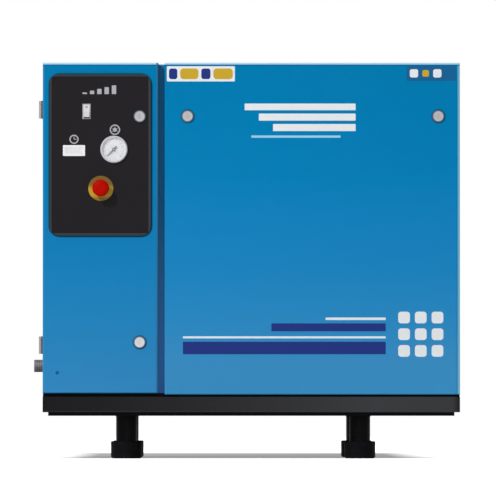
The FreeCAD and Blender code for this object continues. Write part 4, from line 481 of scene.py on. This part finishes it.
# Electric motor: die cast housing and shields, sheet cowl, plastic terminal
# box, a lifting eye screwed into its top and a plain plate riveted to its side.
def casting(name, colour, metallic=0.0, roughness=0.55):
    """Sand casting: coarse grain, shaded hollows and an oily sheen."""
    look = Look(name)
    dark, light = shades(colour, 0.22)
    sand = look.noise(420.0, 5.0, 0.7)
    pits = look.noise(110.0, 3.0).above(0.64, 0.05)
    base = look.blend(pits * 0.5, look.blend(look.noise(18.0, 4.0), dark, light), dark)
    rough = look.noise(30.0) * 0.25 + (roughness - 0.12)
    return look.set(base=base, metallic=metallic, roughness=rough, normal=look.bump(sand - pits, 0.35, 0.0008))


finish_with(casting("motor_casting", rgb(104, 111, 120)), "motor_housing", "motor_end_shields")
finish_with(powder_coat("cowl_paint", rgb(96, 102, 110), 0.5, 0.4), "motor_fan_cowl")
finish_with(plastic("terminal_plastic", rgb(92, 96, 102)), "terminal_box")
finish_with(plated("ground_steel", rgb(190, 190, 194), 0.2, (1.0, 8.0, 1.0)), "motor_shaft", "crankshaft")


def slab(shape, low, high, corner=0.0):
    """A block between two corners; the edges along its thinnest side can be rounded."""
    low, high = Vector(low), Vector(high)
    size = high - low
    place = Matrix.Translation((low + high) / 2) @ Matrix.Diagonal((*size, 1.0))
    made = bmesh.ops.create_cube(shape, size=1.0, matrix=place)
    if corner:
        thin = min(range(3), key=lambda axis: size[axis])
        along = {edge for vertex in made["verts"] for edge in vertex.link_edges
                 if abs(edge.verts[0].co[thin] - edge.verts[1].co[thin]) > size[thin] / 2}
        bmesh.ops.bevel(shape, geom=list(along), offset=corner, segments=6, profile=0.5, affect="EDGES",
                        material=-1)


def circle(count):
    """Equal turns around a full circle."""
    return [math.tau * step / count for step in range(count)]


eye_place = Vector((0.357, 0.098, 0.4165))
eye_radius, eye_wire, eye_rise = 0.0155, 0.0045, 0.027
lifting_eye = bmesh.new()
eye_shank = [(0.0, -0.001), (0.012, -0.001), (0.012, 0.004), (0.007, 0.007), (0.006, 0.013), (0.0, 0.013)]
turned(lifting_eye, eye_shank, eye_place, (0, 0, 1), 24)
eye_ring = [(eye_radius + eye_wire * math.cos(turn), eye_wire * math.sin(turn)) for turn in circle(10)]
turned(lifting_eye, eye_ring, eye_place + Vector((0, 0, eye_rise)), (1, 0, 0), 32, closed=True)
add_piece("motor_lifting_eye", lifting_eye, guard_steel, "base")
fins_x = 0.2560
motor_plate = bmesh.new()
slab(motor_plate, (fins_x, -0.035, 0.297), (fins_x + 0.0014, 0.045, 0.341), 0.003)
for rivet_y in (-0.030, 0.040):
    button_screw(motor_plate, (fins_x, rivet_y, 0.319), (-1, 0, 0), 0.0018, 0.0008)
blank_plate = plated("blank_plate", rgb(196, 196, 198), 0.4, metallic=0.4)
add_piece("motor_plate_blank", motor_plate, blank_plate, "base")

# Belt drive: a turned cast iron pulley and flywheel on their shafts, and two
# wrapped rubber belts that lie in their grooves.
finish_with(casting("bare_iron", rgb(84, 84, 88), 0.6, 0.48), "motor_pulley", "flywheel")
finish_with(rubber("belt_rubber", rgb(34, 34, 35), 0.8), "v_belts")

# Pump: painted crankcase, finned iron cylinders and an aluminium head, with a
# red oil filler cap and a clear sight glass on the side of the crankcase, and
# a wing nut on the filter's lid.
finish_with(casting("pump_iron", rgb(64, 68, 75)), "crankcase", "cylinders")
finish_with(casting("head_alloy", rgb(168, 170, 174), 0.7, 0.5), "cylinder_head")
finish_with(plated("copper", rgb(196, 122, 84), 0.3), "intercooler", "air_pipes")
finish_with(plated("brass", rgb(200, 164, 92), 0.28), "safety_valve")
cap_x, cap_y, cap_z = 0.090, 0.060, 0.440
rib_half, rib_circle = 0.001, 0.0148
oil_cap = bmesh.new()
cap_outline = [(0.0, 0.018), (0.012, 0.018), (0.0145, 0.0155), (0.0145, 0.004), (0.011, 0.003), (0.011, -0.004),
               (0.0, -0.004)]
turned(oil_cap, cap_outline, (cap_x, cap_y, cap_z), (1, 0, 0), 24)
for turn in circle(12):
    rib_y, rib_z = cap_y + rib_circle * math.cos(turn), cap_z + rib_circle * math.sin(turn)
    slab(oil_cap, (cap_x + 0.005, rib_y - rib_half, rib_z - rib_half),
         (cap_x + 0.015, rib_y + rib_half, rib_z + rib_half))
add_piece("oil_filler_cap", oil_cap, plastic("cap_red", rgb(150, 22, 18), 0.38), "base")
lens_place = (0.102, 0.027, 0.330)
lens = bmesh.new()
lens_outline = [(0.0, 0.0012), (0.008, 0.001), (0.0105, 0.0), (0.0105, -0.0006), (0.0, -0.0006)]
turned(lens, lens_outline, lens_place, (1, 0, 0), 28)
oil_glass = Look("sight_glass_oil")
oil_level = oil_glass.axes()[2].above(lens_place[2], 0.0004)
oil_haze = oil_glass.noise(120.0, 3.0)
oil_tone = oil_glass.blend(oil_level, rgb(150, 104, 30), rgb(214, 210, 196))
oil_tone = oil_glass.blend(oil_haze * 0.2, oil_tone, rgb(120, 90, 40))
oil_glass.set(base=oil_tone, roughness=oil_haze * 0.1 + 0.06, coat=0.6)
add_piece("sight_glass_lens", lens, oil_glass, "base")
nut_x, nut_y, nut_z = -0.096, -0.065, 0.697
wing_out, wing_half, wing_thick = 0.011, 0.006, 0.0015
wing_nut = bmesh.new()
nut_outline = [(0.0, 0.010), (0.003, 0.010), (0.003, 0.006), (0.007, 0.005), (0.007, -0.001), (0.0, -0.001)]
turned(wing_nut, nut_outline, (nut_x, nut_y, nut_z), (0, 0, 1), 20)
for wing_x in (nut_x - wing_out, nut_x + wing_out):
    slab(wing_nut, (wing_x - wing_half, nut_y - wing_thick, nut_z + 0.001),
         (wing_x + wing_half, nut_y + wing_thick, nut_z + 0.012), 0.003)
add_piece("filter_wing_nut", wing_nut, guard_steel, "base")

# Control gear: a plated plate with a row of grey terminals, a pale contactor,
# relay and timer on a rail, a slotted duct, and wires between them.
terminal_x, terminal_pitch, terminal_front = -0.4205, 0.016, 0.229
contact_x, contact_pitch = -0.396, 0.018
gear_plate = Look("plate_and_terminals")
terminal_zone = gear_plate.inside((-0.430, None, 0.470), (-0.266, 0.2675, 0.530), 0.0004)
gear_grain = gear_plate.noise(160.0, 5.0, 0.6, rolled_grain)
zinc_tone = gear_plate.blend(gear_grain, rgb(158, 160, 164), rgb(188, 190, 194))
terminal_tone = gear_plate.blend(gear_grain * 0.2, rgb(150, 152, 148), rgb(120, 122, 118))
gear_plate.set(base=gear_plate.blend(terminal_zone, zinc_tone, terminal_tone),
               metallic=(1.0 - terminal_zone) * 0.8, roughness=gear_grain * 0.15 + 0.34,
               normal=gear_plate.bump(gear_grain, 0.04, 0.0003))
finish_with(gear_plate, "electrical_plate")
finish_with(plastic("gear_plastic", rgb(132, 134, 138)), "contactor")
gear_screws = bmesh.new()
for number in range(10):
    for screw_z in (0.484, 0.516):
        screw_place = (terminal_x + number * terminal_pitch, terminal_front, screw_z)
        button_screw(gear_screws, screw_place, (0, -1, 0), 0.0034, 0.0008)
for number in range(3):
    for screw_y, screw_z in ((0.176, 0.792), (0.183, 0.676)):
        screw_place = (contact_x + number * contact_pitch, screw_y, screw_z)
        button_screw(gear_screws, screw_place, (0, -1, 0), 0.004, 0.0008)
add_piece("gear_screws", gear_screws, guard_steel, "base")
gear_covers = bmesh.new()
slab(gear_covers, (-0.394, 0.1745, 0.744), (-0.362, 0.177, 0.778), 0.003)
slab(gear_covers, (-0.318, 0.1945, 0.742), (-0.293, 0.197, 0.784), 0.003)
turned(gear_covers, [(0.0, 0.006), (0.005, 0.006), (0.0058, 0.005), (0.0062, -0.001), (0.0, -0.001)],
       (-0.378, 0.183, 0.699), (0, -1, 0), 24)
add_piece("gear_covers", gear_covers, plastic("gear_dark", rgb(48, 50, 56), 0.35), "base")
duct_left, duct_right, duct_low, duct_high = -0.266, -0.240, 0.452, 0.858
duct_front, lid_back, floor_front, duct_back = 0.229, 0.232, 0.262, 0.269
duct_wall, tooth_pitch, tooth_height = 0.0015, 0.012, 0.007
cable_duct = bmesh.new()
slab(cable_duct, (duct_left, floor_front, duct_low), (duct_right, duct_back, duct_high))
slab(cable_duct, (duct_left - 0.001, duct_front, duct_low), (duct_right + 0.001, lid_back, duct_high))
for number in range(34):
    tooth_low = duct_low + 0.002 + number * tooth_pitch
    for tooth_x in (duct_left, duct_right - duct_wall):
        slab(cable_duct, (tooth_x, lid_back, tooth_low),
             (tooth_x + duct_wall, floor_front, tooth_low + tooth_height))
add_piece("cable_duct", cable_duct, plastic("duct_grey", rgb(120, 122, 124), 0.5), "base")


def bent_bar(shape, corners, radius, bend=0.012, sides=10):
    """A round bar or wire through a list of corners, rounded at each of them."""
    corners = [Vector(corner) for corner in corners]
    path = [corners[0]]
    for before, corner, after in zip(corners, corners[1:], corners[2:]):
        start = corner + (before - corner).normalized() * bend
        end = corner + (after - corner).normalized() * bend
        for step in range(7):
            part = step / 6
            path.append(start * (1 - part) ** 2 + corner * 2 * part * (1 - part) + end * part ** 2)
    path.append(corners[-1])
    side = (path[1] - path[0]).orthogonal()
    rings = []
    for before, point, after in zip(path[:1] + path, path, path[1:] + path[-1:]):
        way = (after - before).normalized()
        side = (side - way * side.dot(way)).normalized()
        facing = Matrix((way.cross(side), side, way)).transposed().to_4x4()
        made = bmesh.ops.create_circle(shape, segments=sides, radius=radius,
                                       matrix=Matrix.Translation(point) @ facing)
        rings.append({edge for vertex in made["verts"] for edge in vertex.link_edges})
    for first, second in zip(rings, rings[1:]):
        bmesh.ops.bridge_loops(shape, edges=list(first | second))
    bmesh.ops.holes_fill(shape, edges=list(rings[0] | rings[-1]))


wire_radius, entry_y, contact_y, duct_y = 0.0017, 0.242, 0.214, 0.247
for wire_name, wire_colour, first in (("wires_black", rgb(28, 28, 30), 0), ("wires_blue", rgb(30, 70, 140), 1)):
    wires = bmesh.new()
    for number in range(first, 6, 2):
        start_x = terminal_x + (number + 2) * terminal_pitch
        end_x = -0.400 + number * 0.0085
        bent_bar(wires, [(start_x, entry_y, 0.524), (start_x, entry_y, 0.556 + number * 0.008),
                         (end_x, contact_y, 0.600 + number * 0.006), (end_x, contact_y, 0.668)], wire_radius)
    for number in range(first, 4, 2):
        start_x = terminal_x + (number + 5) * terminal_pitch
        bent_bar(wires, [(start_x, entry_y, 0.477), (start_x, entry_y, 0.458 - number * 0.003),
                         (-0.262, duct_y, 0.456 - number * 0.003)], wire_radius, 0.008)
    add_piece(wire_name, wires, plastic(wire_name, wire_colour, 0.45), "base")

# Door and front panel: folded steel pans under the blue coat, with foam
# inside. Their folds carry narrow bands of painted highlight and painted shade,
# and the head of a fixing screw shows dark near the door's lower left.
# Painted shade and highlight: a dark line under a pale top fold, a pale left edge, a darker right fold and a
# darker foot.
fold_shade = band(rgb(11, 90, 150), 0.8, 0.0008, low=roof_edge - 0.0074, high=roof_edge - 0.0044)
fold_shine = band(rgb(176, 218, 235), 1.0, 0.0008, low=roof_edge - 0.0042)
door_left_highlight = band(rgb(64, 134, 180), 0.5, 0.0012, right=left_edge + 0.0036, high=roof_edge - 0.004)
door_right_shade = band(rgb(48, 108, 150), 0.9, 0.0006, left=door_high[0] - 0.0050)
door_foot_shade = band(rgb(24, 108, 158), 0.7, 0.0008, high=door_low[2] + 0.0022)
# Painted light: the door's blue is painted paler towards the floor, like the sheets.
door_floor_light_stops = [
    (0.02, rgb(53, 135, 190)), (0.11, rgb(45, 132, 187)), (0.19, rgb(39, 130, 185)), (0.27, rgb(33, 128, 185)),
    (0.38, rgb(24, 125, 182)), (0.47, rgb(17, 122, 178)), (0.67, rgb(4, 120, 174)), (0.86, rgb(0, 119, 172)),
    (0.99, rgb(0, 118, 169)),
]
door_bands = [door_left_highlight, fold_shade, fold_shine, door_right_shade, door_foot_shade]
finish_with(cabinet_paint("door_paint", door_bands, stops=door_floor_light_stops), "door_panel")
# Painted shade and highlight along the front panel's right fold, and painted shade along its foot.
lid_shade = band(rgb(0, 108, 158), 0.35, 0.001, left=right_edge - 0.0095, right=right_edge - 0.0052)
lid_shine = band(rgb(112, 178, 212), 1.0, 0.0006, left=right_edge - 0.0052)
lid_foot_shade = band(rgb(24, 108, 158), 0.7, 0.0008, high=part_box("front_panel")[0][2] + 0.0022)
finish_with(cabinet_paint("lid_paint", [lid_shade, lid_shine, fold_shade, fold_shine, lid_foot_shade]), "front_panel")
door_screw = bmesh.new()
turned(door_screw, [(0.0, -0.0008), (0.003, -0.0008), (0.0044, -0.0002), (0.0046, 0.0006), (0.0, 0.0006)],
       (-0.4530, front_y, 0.2058), (0, 1, 0), 32)
screw_blue = powder_coat("screw_blue", rgb(10, 92, 140), 0.5, 0.1)
add_piece("door_screw", door_screw, screw_blue, "door")


# Decoration: thin printed film stuck to the front panel. The two upper strips
# carry plain bars and rounded squares, and the broad marks are plain stripes
# beside a block of nine rounded squares.
def film(name, colour):
    """Printed film: an even colour with faint flecks, satin."""
    look = Look(name)
    dark, light = shades(colour, 0.03)
    rough = look.noise(60.0, 3.0) * 0.08 + 0.34
    return look.set(base=look.blend(look.noise(160.0, 3.0), dark, light), roughness=rough,
                    normal=look.bump(look.noise(500.0, 2.0), 0.02, 0.0002), specular=0.08)


film_depth = 0.0002


def strips(name, look, places, layer=1, corner=0.0, body="lift_off_panel", surface=front_y):
    """Flat rectangles (left, right, low, high) of film on a surface, one layer above another."""
    shape = bmesh.new()
    back, front = surface - (layer - 1) * film_depth, surface - layer * film_depth
    for left, right, low, high in places:
        slab(shape, (left, front, low), (right, back, high), corner)
    add_piece(name, shape, look, body)


film_white = film("film_white", rgb(228, 232, 234))
film_navy = film("film_navy", rgb(31, 50, 125))
film_amber = film("film_amber", rgb(200, 164, 44))
film_deep = film("film_deep", rgb(16, 96, 146))
film_pale = film("film_pale", rgb(150, 205, 232))
bar_low, bar_high = 0.9095, 0.9350
strips("strip_white", film_white, [(-0.1905, -0.0275, 0.9040, 0.9405)], 1, 0.002)
strips("strip_bars_navy", film_navy,
       [(-0.1855, -0.1655, bar_low, bar_high), (-0.1080, -0.0860, bar_low, bar_high)], 2, 0.006)
strips("strip_bars_amber", film_amber,
       [(-0.1585, -0.1150, bar_low, bar_high), (-0.0790, -0.0325, bar_low, bar_high)], 2, 0.008)
strips("strip_dark", film_deep, [(0.384, 0.502, 0.9055, 0.9410)], 1, 0.003)
strips("strip_squares", film_white,
       [(0.392, 0.412, 0.9135, 0.9335), (0.448, 0.468, 0.9135, 0.9335)], 2, 0.005)
strips("strip_square_amber", film_amber, [(0.422, 0.438, 0.9155, 0.9315)], 2, 0.004)
upper_right, lower_left, lower_right = 0.262, -0.152, 0.334
strips("stripes_white", film_white, [
    (-0.004, upper_right, 0.8350, 0.8510), (0.030, upper_right, 0.8100, 0.8270),
    (0.064, upper_right, 0.7850, 0.8020),
    (lower_left, lower_right, 0.2880, 0.2930), (0.190, lower_right, 0.3320, 0.3380),
], 1, 0.001)
strips("stripe_pale", film_pale, [(0.012, 0.226, 0.7690, 0.7745)], 1, 0.001)
strips("stripes_navy", film_navy,
       [(lower_left, lower_right, 0.2500, 0.2800), (0.060, lower_right, 0.3050, 0.3240)], 1, 0.001)
square_side, square_pitch = 0.028, 0.040
square_corners = [(0.364 + column * square_pitch, 0.244 + row * square_pitch)
                  for column in range(3) for row in range(3)]
strips("squares_white", film_white,
       [(left, left + square_side, low, low + square_side) for left, low in square_corners], 1, 0.007)

# Fascia: textured black plate with a thin raised rim, screwed to the door,
# with generic printing: rising bars, a clock sign and a dial sign in pale grey.
# Its rim carries a painted highlight, and a navy bead round it is partly a seal
# and partly a painted shadow.
fascia_low, fascia_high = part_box("fascia")
plate_y = fascia_low[1] + 0.0015
rim = 0.0066
fascia_plastic = Look("fascia_plastic")
field = fascia_plastic.inside((fascia_low[0] + rim, None, fascia_low[2] + rim),
                              (fascia_high[0] - rim, None, fascia_high[2] - rim), 0.0008)
# Painted highlight: the raised rim is painted a paler grey, with a dark blue-grey line at its outer edge.
rim_core = fascia_plastic.inside((fascia_low[0] + 0.0036, None, fascia_low[2] + 0.0034),
                                 (fascia_high[0] - 0.0036, None, fascia_high[2] - 0.0036), 0.0008)
rim_highlight = fascia_plastic.blend(rim_core, rgb(30, 58, 72), rgb(60, 57, 58))
field_tone = fascia_plastic.blend(fascia_plastic.noise(5.0, 3.0), rgb(22, 20, 23), rgb(27, 24, 27))
fascia_plastic.set(base=fascia_plastic.blend(field, rim_highlight, field_tone), specular=0.1,
                   roughness=fascia_plastic.noise(30.0) * 0.12 + 0.44,
                   normal=fascia_plastic.bump(fascia_plastic.noise(1600.0, 2.0), 0.12, 0.0003))
finish_with(fascia_plastic, "fascia")
# A dark navy bead round the fascia, wider to the right and below: partly a seal, partly a painted shadow cast
# by the fascia.
seal_and_shadow_bead = bmesh.new()
slab(seal_and_shadow_bead, (fascia_low[0] - 0.0012, front_y - 0.0010, fascia_low[2] - 0.0022),
     (fascia_high[0] + 0.0022, front_y + 0.0001, fascia_high[2] + 0.0012), 0.026)
seal_and_shadow_navy = powder_coat("seal_and_shadow_navy", rgb(14, 52, 80), 0.6, 0.1)
add_piece("fascia_seal_bead", seal_and_shadow_bead, seal_and_shadow_navy, "door")
print_grey = film("print_grey", rgb(172, 172, 176))
bar_pitch, bar_rise, bar_foot = 0.0175, 0.0042, 0.8735
bars = [(-0.3925 + step * bar_pitch, -0.3820 + step * bar_pitch, bar_foot, 0.8775 + step * bar_rise)
        for step in range(5)]
strips("fascia_bars", print_grey, bars, 1, 0.001, "door", plate_y)
clock_x, clock_z, clock_radius = -0.4130, 0.7650, 0.0110
dial_x, dial_z, dial_radius = -0.3150, 0.7880, 0.0125
hand_half, dot_circle = 0.0008, 0.0075
print_y = plate_y - film_depth
signs = bmesh.new()
for sign_x, sign_z, sign_radius in ((clock_x, clock_z, clock_radius), (dial_x, dial_z, dial_radius)):
    sign_hole = sign_radius - 0.003
    sign_ring = [(sign_radius, 0.0), (sign_radius, film_depth), (sign_hole, film_depth), (sign_hole, 0.0)]
    turned(signs, sign_ring, (sign_x, plate_y, sign_z), (0, -1, 0), 40, closed=True)
slab(signs, (clock_x - hand_half, print_y, clock_z), (clock_x + hand_half, plate_y, clock_z + 0.0072))
slab(signs, (clock_x, print_y, clock_z - hand_half), (clock_x + 0.0060, plate_y, clock_z + hand_half))
turned(signs, [(0.0, film_depth), (0.0050, film_depth), (0.0050, 0.0), (0.0, 0.0)],
       (dial_x, plate_y, dial_z), (0, -1, 0), 28)
for step in range(5):
    turn = math.radians(210 - step * 60)
    dot_x, dot_z = dial_x + dot_circle * math.cos(turn), dial_z + dot_circle * math.sin(turn)
    slab(signs, (dot_x - hand_half, print_y, dot_z - hand_half),
         (dot_x + hand_half, plate_y, dot_z + hand_half))
add_piece("fascia_signs", signs, print_grey, "door")


# Controls: pale moulded rocker, hour meter with a window, and a gauge with
# printed ticks under a clear glass. Behind the door all their bodies are black.
def control(look, colour, details, roughness=0.3, specular=0.5):
    """Moulded control: one tone, details (mask, colour) over it, and black behind the door's skin."""
    door_skin = front_y + 0.001
    dark, light = shades(colour, 0.03)
    base = look.blend(look.noise(80.0, 3.0), dark, light)
    for mask, tone in details:
        base = look.blend(mask, base, tone)
    base = look.blend(look.inside((None, door_skin, None), (None, None, None), 0.0002), base, rgb(30, 30, 33))
    return look.set(base=base, roughness=look.noise(40.0, 4.0, 0.6) * 0.1 + roughness, specular=specular,
                    normal=look.bump(look.noise(1200.0, 2.0), 0.06, 0.0002))


rocker_x, rocker_z = -0.383, 0.832
bezel_look = Look("rocker_frame")
bezel_edge = 1.0 - bezel_look.window(rocker_x, rocker_z, 0.0086, 0.0172)
finish_with(control(bezel_look, rgb(206, 204, 208), [(bezel_edge, rgb(120, 119, 123))]), "rocker_bezel")
rocker_look = Look("rocker_white")
from_dot = rocker_look.from_axis((rocker_x, rocker_z + 0.0105))
rocker_dot = (1.0 - from_dot.above(0.0028, 0.0004)) * from_dot.above(0.0014, 0.0004)
# Painted shade: the rocker's lower half is painted a little darker.
rocker_low_shade = rocker_look.inside((None, None, None), (None, None, rocker_z), 0.002) * 0.5
rocker_details = [(rocker_low_shade, rgb(190, 189, 192)), (rocker_dot, rgb(90, 90, 94))]
finish_with(control(rocker_look, rgb(214, 213, 216), rocker_details), "rocker")
meter_x, meter_z = -0.413, 0.738
wheels_half, wheel_width = 0.018, 0.006
meter_look = Look("meter_white")
meter_window = meter_look.window(meter_x, meter_z, 0.020, 0.008) * 0.3
along_wheels = meter_look.axes()[0] - meter_x + wheels_half
wheel_gaps = 1.0 - along_wheels.maths("MODULO", wheel_width).above(0.0007, 0.0002)
wheel_lines = meter_look.window(meter_x, meter_z, wheels_half, 0.006) * wheel_gaps * 0.35
meter_details = [(meter_window, rgb(206, 206, 208)), (wheel_lines, rgb(120, 120, 124))]
finish_with(control(meter_look, rgb(232, 231, 234), meter_details), "hour_meter")
gauge_x, gauge_z = -0.3173, 0.7410
dial_edge, glass_radius, scale_radius = 0.0284, 0.0284, 0.0250
gauge_look = Look("gauge_white")
gauge_shade = gauge_look.noise(45.0, 3.0).above(0.6, 0.1) * 0.12
gauge_rim = gauge_look.from_axis((gauge_x, gauge_z)).above(dial_edge, 0.0003) * 0.8
gauge_details = [(gauge_shade, rgb(190, 190, 194)), (gauge_rim, rgb(190, 189, 193))]
finish_with(control(gauge_look, rgb(226, 225, 228), gauge_details), "gauge_case")
finish_with(plastic("needle_paint", rgb(88, 88, 94), 0.4), "gauge_needle")
dial_middle = Vector((gauge_x, -0.3177, gauge_z))
ticks = bmesh.new()
for step in range(28):
    turn = math.radians(225 - step * 10)
    tick_end = scale_radius - (0.0042 if step % 3 == 0 else 0.0024)
    outward = Vector((math.cos(turn), 0.0, math.sin(turn)))
    sideways = Vector((-math.sin(turn), 0.0, math.cos(turn))) * 0.00035
    corners = [dial_middle + outward * scale_radius + sideways, dial_middle + outward * tick_end + sideways,
               dial_middle + outward * tick_end - sideways, dial_middle + outward * scale_radius - sideways]
    tick_face = ticks.faces.new([ticks.verts.new(corner) for corner in corners])
    raised = bmesh.ops.extrude_face_region(ticks, geom=[tick_face])
    for vertex in raised["geom"]:
        if isinstance(vertex, bmesh.types.BMVert):
            vertex.co.y += 0.0001
add_piece("gauge_ticks", ticks, film("tick_grey", rgb(120, 120, 126)), "door")
gauge_glass = bmesh.new()
turned(gauge_glass, [(0.0, 0.0006), (glass_radius, 0.0003), (glass_radius, -0.0003), (0.0, 0.0)],
       (gauge_x, -0.3218, gauge_z), (0, -1, 0), 48)
clear_glass = Look("clear_glass")
smear = clear_glass.noise(30.0, 4.0, 0.6)
clear_glass.set(base=rgb(235, 240, 242), alpha=smear * 0.06 + 0.04, roughness=smear * 0.06 + 0.03, specular=0.5)
add_piece("gauge_glass", gauge_glass, clear_glass, "door")

# Emergency stop: yellow disc under the collar, red mushroom head; the contact
# block behind the door is black. The disc is darker at top and bottom, partly a
# printed legend band and partly painted shade, with a painted highlight at its left.
stop_x, stop_z = -0.3488, 0.6475
stop_yellow = Look("stop_yellow")
# The disc's top and bottom are darker, partly a printed legend band and partly painted shade; its left is a
# painted highlight.
disc_top_band_and_shade = stop_yellow.axes()[2].above(stop_z + 0.004, 0.006)
disc_foot_band_and_shade = 1.0 - stop_yellow.axes()[2].above(stop_z - 0.021, 0.003)
disc_left_highlight = stop_yellow.inside((None, None, stop_z - 0.018), (stop_x - 0.012, None, stop_z + 0.002), 0.004)
disc_details = [(disc_top_band_and_shade, rgb(126, 92, 30)), (disc_foot_band_and_shade * 0.8, rgb(130, 94, 26)),
                (disc_left_highlight * 0.6, rgb(196, 160, 48))]
finish_with(control(stop_yellow, rgb(176, 138, 30), disc_details, 0.35, 0.2), "estop_collar")
finish_with(black_plastic, "estop_stem")
finish_with(plastic("stop_red", rgb(180, 10, 1), 0.5, 0.03), "estop_head")

# Quarter-turn locks: die cast zinc heads nutted through the sheet, whose cores
# turn a cam behind the frame. Their rims carry painted shade tinted by the blue
# sheet's reflection, the lower door lock is painted paler as a painted
# reflection, and those outside the fascia sit on a thin blue gasket that also
# stands for the painted shadow round each head.
door_lock_places = [(-0.2556, 0.82), (-0.2556, 0.2785)]
panel_lock_places = [(-0.1408, 0.8205), (0.4604, 0.8205)]
lock_zinc = Look("lock_zinc")
lock_grain = lock_zinc.noise(240.0, 4.0, 0.6)
# Painted reflection: the lower door lock is painted paler than the upper ones.
lower_lock_reflection = 1.0 - lock_zinc.axes()[2].above(0.5, 0.01)
lock_tone = lock_zinc.blend(lower_lock_reflection, rgb(182, 180, 183), rgb(216, 216, 218))
lock_tone = lock_zinc.blend(lock_grain * 0.35, lock_tone, rgb(158, 156, 160))
for lock_place in door_lock_places + panel_lock_places:
    near_head = 1.0 - lock_zinc.from_axis(lock_place).above(0.02, 0.001)
    # Painted shade and reflection of the blue sheet: a dark blue-grey ring round each head.
    rim_painted_shade = lock_zinc.from_axis(lock_place).above(0.0118, 0.0004) * near_head
    lock_tone = lock_zinc.blend(rim_painted_shade * 0.85, lock_tone, rgb(66, 90, 110))
lock_zinc.set(base=lock_tone, metallic=0.25, roughness=lock_grain * 0.2 + 0.34, specular=0.35,
              normal=lock_zinc.bump(lock_grain, 0.12, 0.0003))
finish_with(lock_zinc, "door_lock_bodies", "door_lock_upper", "door_lock_lower")
finish_with(lock_zinc, "panel_lock_bodies", "panel_lock_left", "panel_lock_right")
# Thin blue gaskets under the heads, partly a seal and partly a painted shadow ring round each head.
shadow_gasket_blue = powder_coat("shadow_gasket_blue", rgb(10, 78, 122), 0.6, 0.1)
gasket_ring = [(0.0130, 0.0), (0.0168, 0.0), (0.0168, 0.0004), (0.0162, 0.0008), (0.0130, 0.0008)]
for gasket_name, gasket_body, places in (("door_lock_shadow_gasket", "door", door_lock_places[1:]),
                                         ("panel_lock_shadow_gaskets", "lift_off_panel", panel_lock_places)):
    gasket = bmesh.new()
    for lock_x, lock_z in places:
        turned(gasket, gasket_ring, (lock_x, front_y, lock_z), (0, -1, 0), 48, closed=True)
    add_piece(gasket_name, gasket, shadow_gasket_blue, gasket_body)

# Floor and soft room light: a white floor keeps the shadow near the machine,
# where the camera sees a grey floor colour and a weaker glow as painted shade
# that deepens the shadow; beyond it the camera sees plain white.
floor_shape = bmesh.new()
bmesh.ops.create_grid(floor_shape, x_segments=1, y_segments=1, size=14.0)
floor_mesh = bpy.data.meshes.new("floor")
floor_shape.to_mesh(floor_mesh)
floor_shape.free()
floor = bpy.data.objects.new("floor", floor_mesh)
bpy.context.scene.collection.objects.link(floor)
floor_white = Look("floor_white")
floor_x, floor_y = floor_white.axes()[:2]
from_middle = floor_x + 0.004
side_away = (from_middle * from_middle).maths("SQRT").above(0.45, 0.08)
rear_away = floor_y.above(2.25, 0.5)
front_away = 1.0 - floor_y.above(-0.2, 0.45)
away = side_away.maths("MAXIMUM", rear_away).maths("MAXIMUM", front_away)
seen = floor_white.node("LightPath", {}, {}, "Is Camera Ray")
floor_glow = floor_white.blend(seen * (away * 0.83 + 0.17), [0.0, 0.0, 0.0, 1.0], [1.0, 1.0, 1.0, 1.0])
# Painted shade: near the machine the camera sees a grey floor colour.
floor_painted_shade = floor_white.blend(seen * (1.0 - away), rgb(244, 244, 244), rgb(142, 142, 143))
floor_white.set(base=floor_painted_shade, roughness=0.9, specular=0.0, emission=floor_glow, glow=1.0)
floor_mesh.materials.append(floor_white.material)


class Room(Look):
    """The light all around, wired like a look but with no surface of its own."""

    def __init__(self, name):
        self.world = bpy.data.worlds.new(name)
        self.world.use_nodes = True
        self.tree = self.world.node_tree


room = Room("room")
bpy.context.scene.world = room.world
straight = room.node("LightPath", {}, {}, "Is Camera Ray")
for ray_kind in ("Is Glossy Ray", "Is Transmission Ray"):
    straight = straight.maths("MAXIMUM", room.node("LightPath", {}, {}, ray_kind))
white = (1.0, 1.0, 1.0, 1.0)
soft_light = room.node("Background", {}, {"Color": white, "Strength": 0.25})
backdrop = room.node("Background", {}, {"Color": white, "Strength": 1.0})
shown = room.node("MixShader", {}, {0: straight, 1: soft_light, 2: backdrop})
room.plug(room.tree.nodes["World Output"].inputs["Surface"], shown)


def lamp(name, place, target, size, power, mirrored=True):
    """A rectangular light that faces a target; it can be left out of reflections."""
    light = bpy.data.lights.new(name, "AREA")
    light.shape = "RECTANGLE"
    light.size, light.size_y = size
    light.energy = power
    holder = bpy.data.objects.new(name, light)
    holder.location = place
    holder.visible_glossy = mirrored
    holder.rotation_euler = (Vector(target) - Vector(place)).to_track_quat("-Z", "Y").to_euler()
    bpy.context.scene.collection.objects.link(holder)


lamp("key_light", (-4.3, -6.0, 5.5), (0.0, 0.0, 0.5), (1.0, 1.0), 470.0)
lamp("low_light", (0.0, -4.8, 0.9), (0.0, 0.0, 0.4), (0.4, 1.2), 12.0)
lamp("rear_light_left", (-3.0, 3.6, 2.6), (0.0, 0.2, 0.5), (2.0, 2.0), 90.0, mirrored=False)
lamp("rear_light_right", (3.6, 2.0, 2.6), (0.0, 0.2, 0.5), (2.0, 2.0), 100.0, mirrored=False)

# Camera: a long lens near the floor, a little left of the middle, and aimed
# at the middle of the front.
sensor_width, picture_height, front_distance = 36.0, 1.198, 18.75
camera_data = bpy.data.cameras.new("camera")
camera_data.sensor_width = sensor_width
camera_data.lens = sensor_width * front_distance / picture_height
camera_data.clip_end = 100.0
camera = bpy.data.objects.new("camera", camera_data)
camera.location = (-0.088, front_y - front_distance, 0.12)
aim = Vector((0.0040, front_y, 0.4998))
camera.rotation_euler = (aim - camera.location).to_track_quat("-Z", "Y").to_euler()
bpy.context.scene.collection.objects.link(camera)
bpy.context.scene.camera = camera
bpy.context.scene.view_settings.view_transform = "Standard"
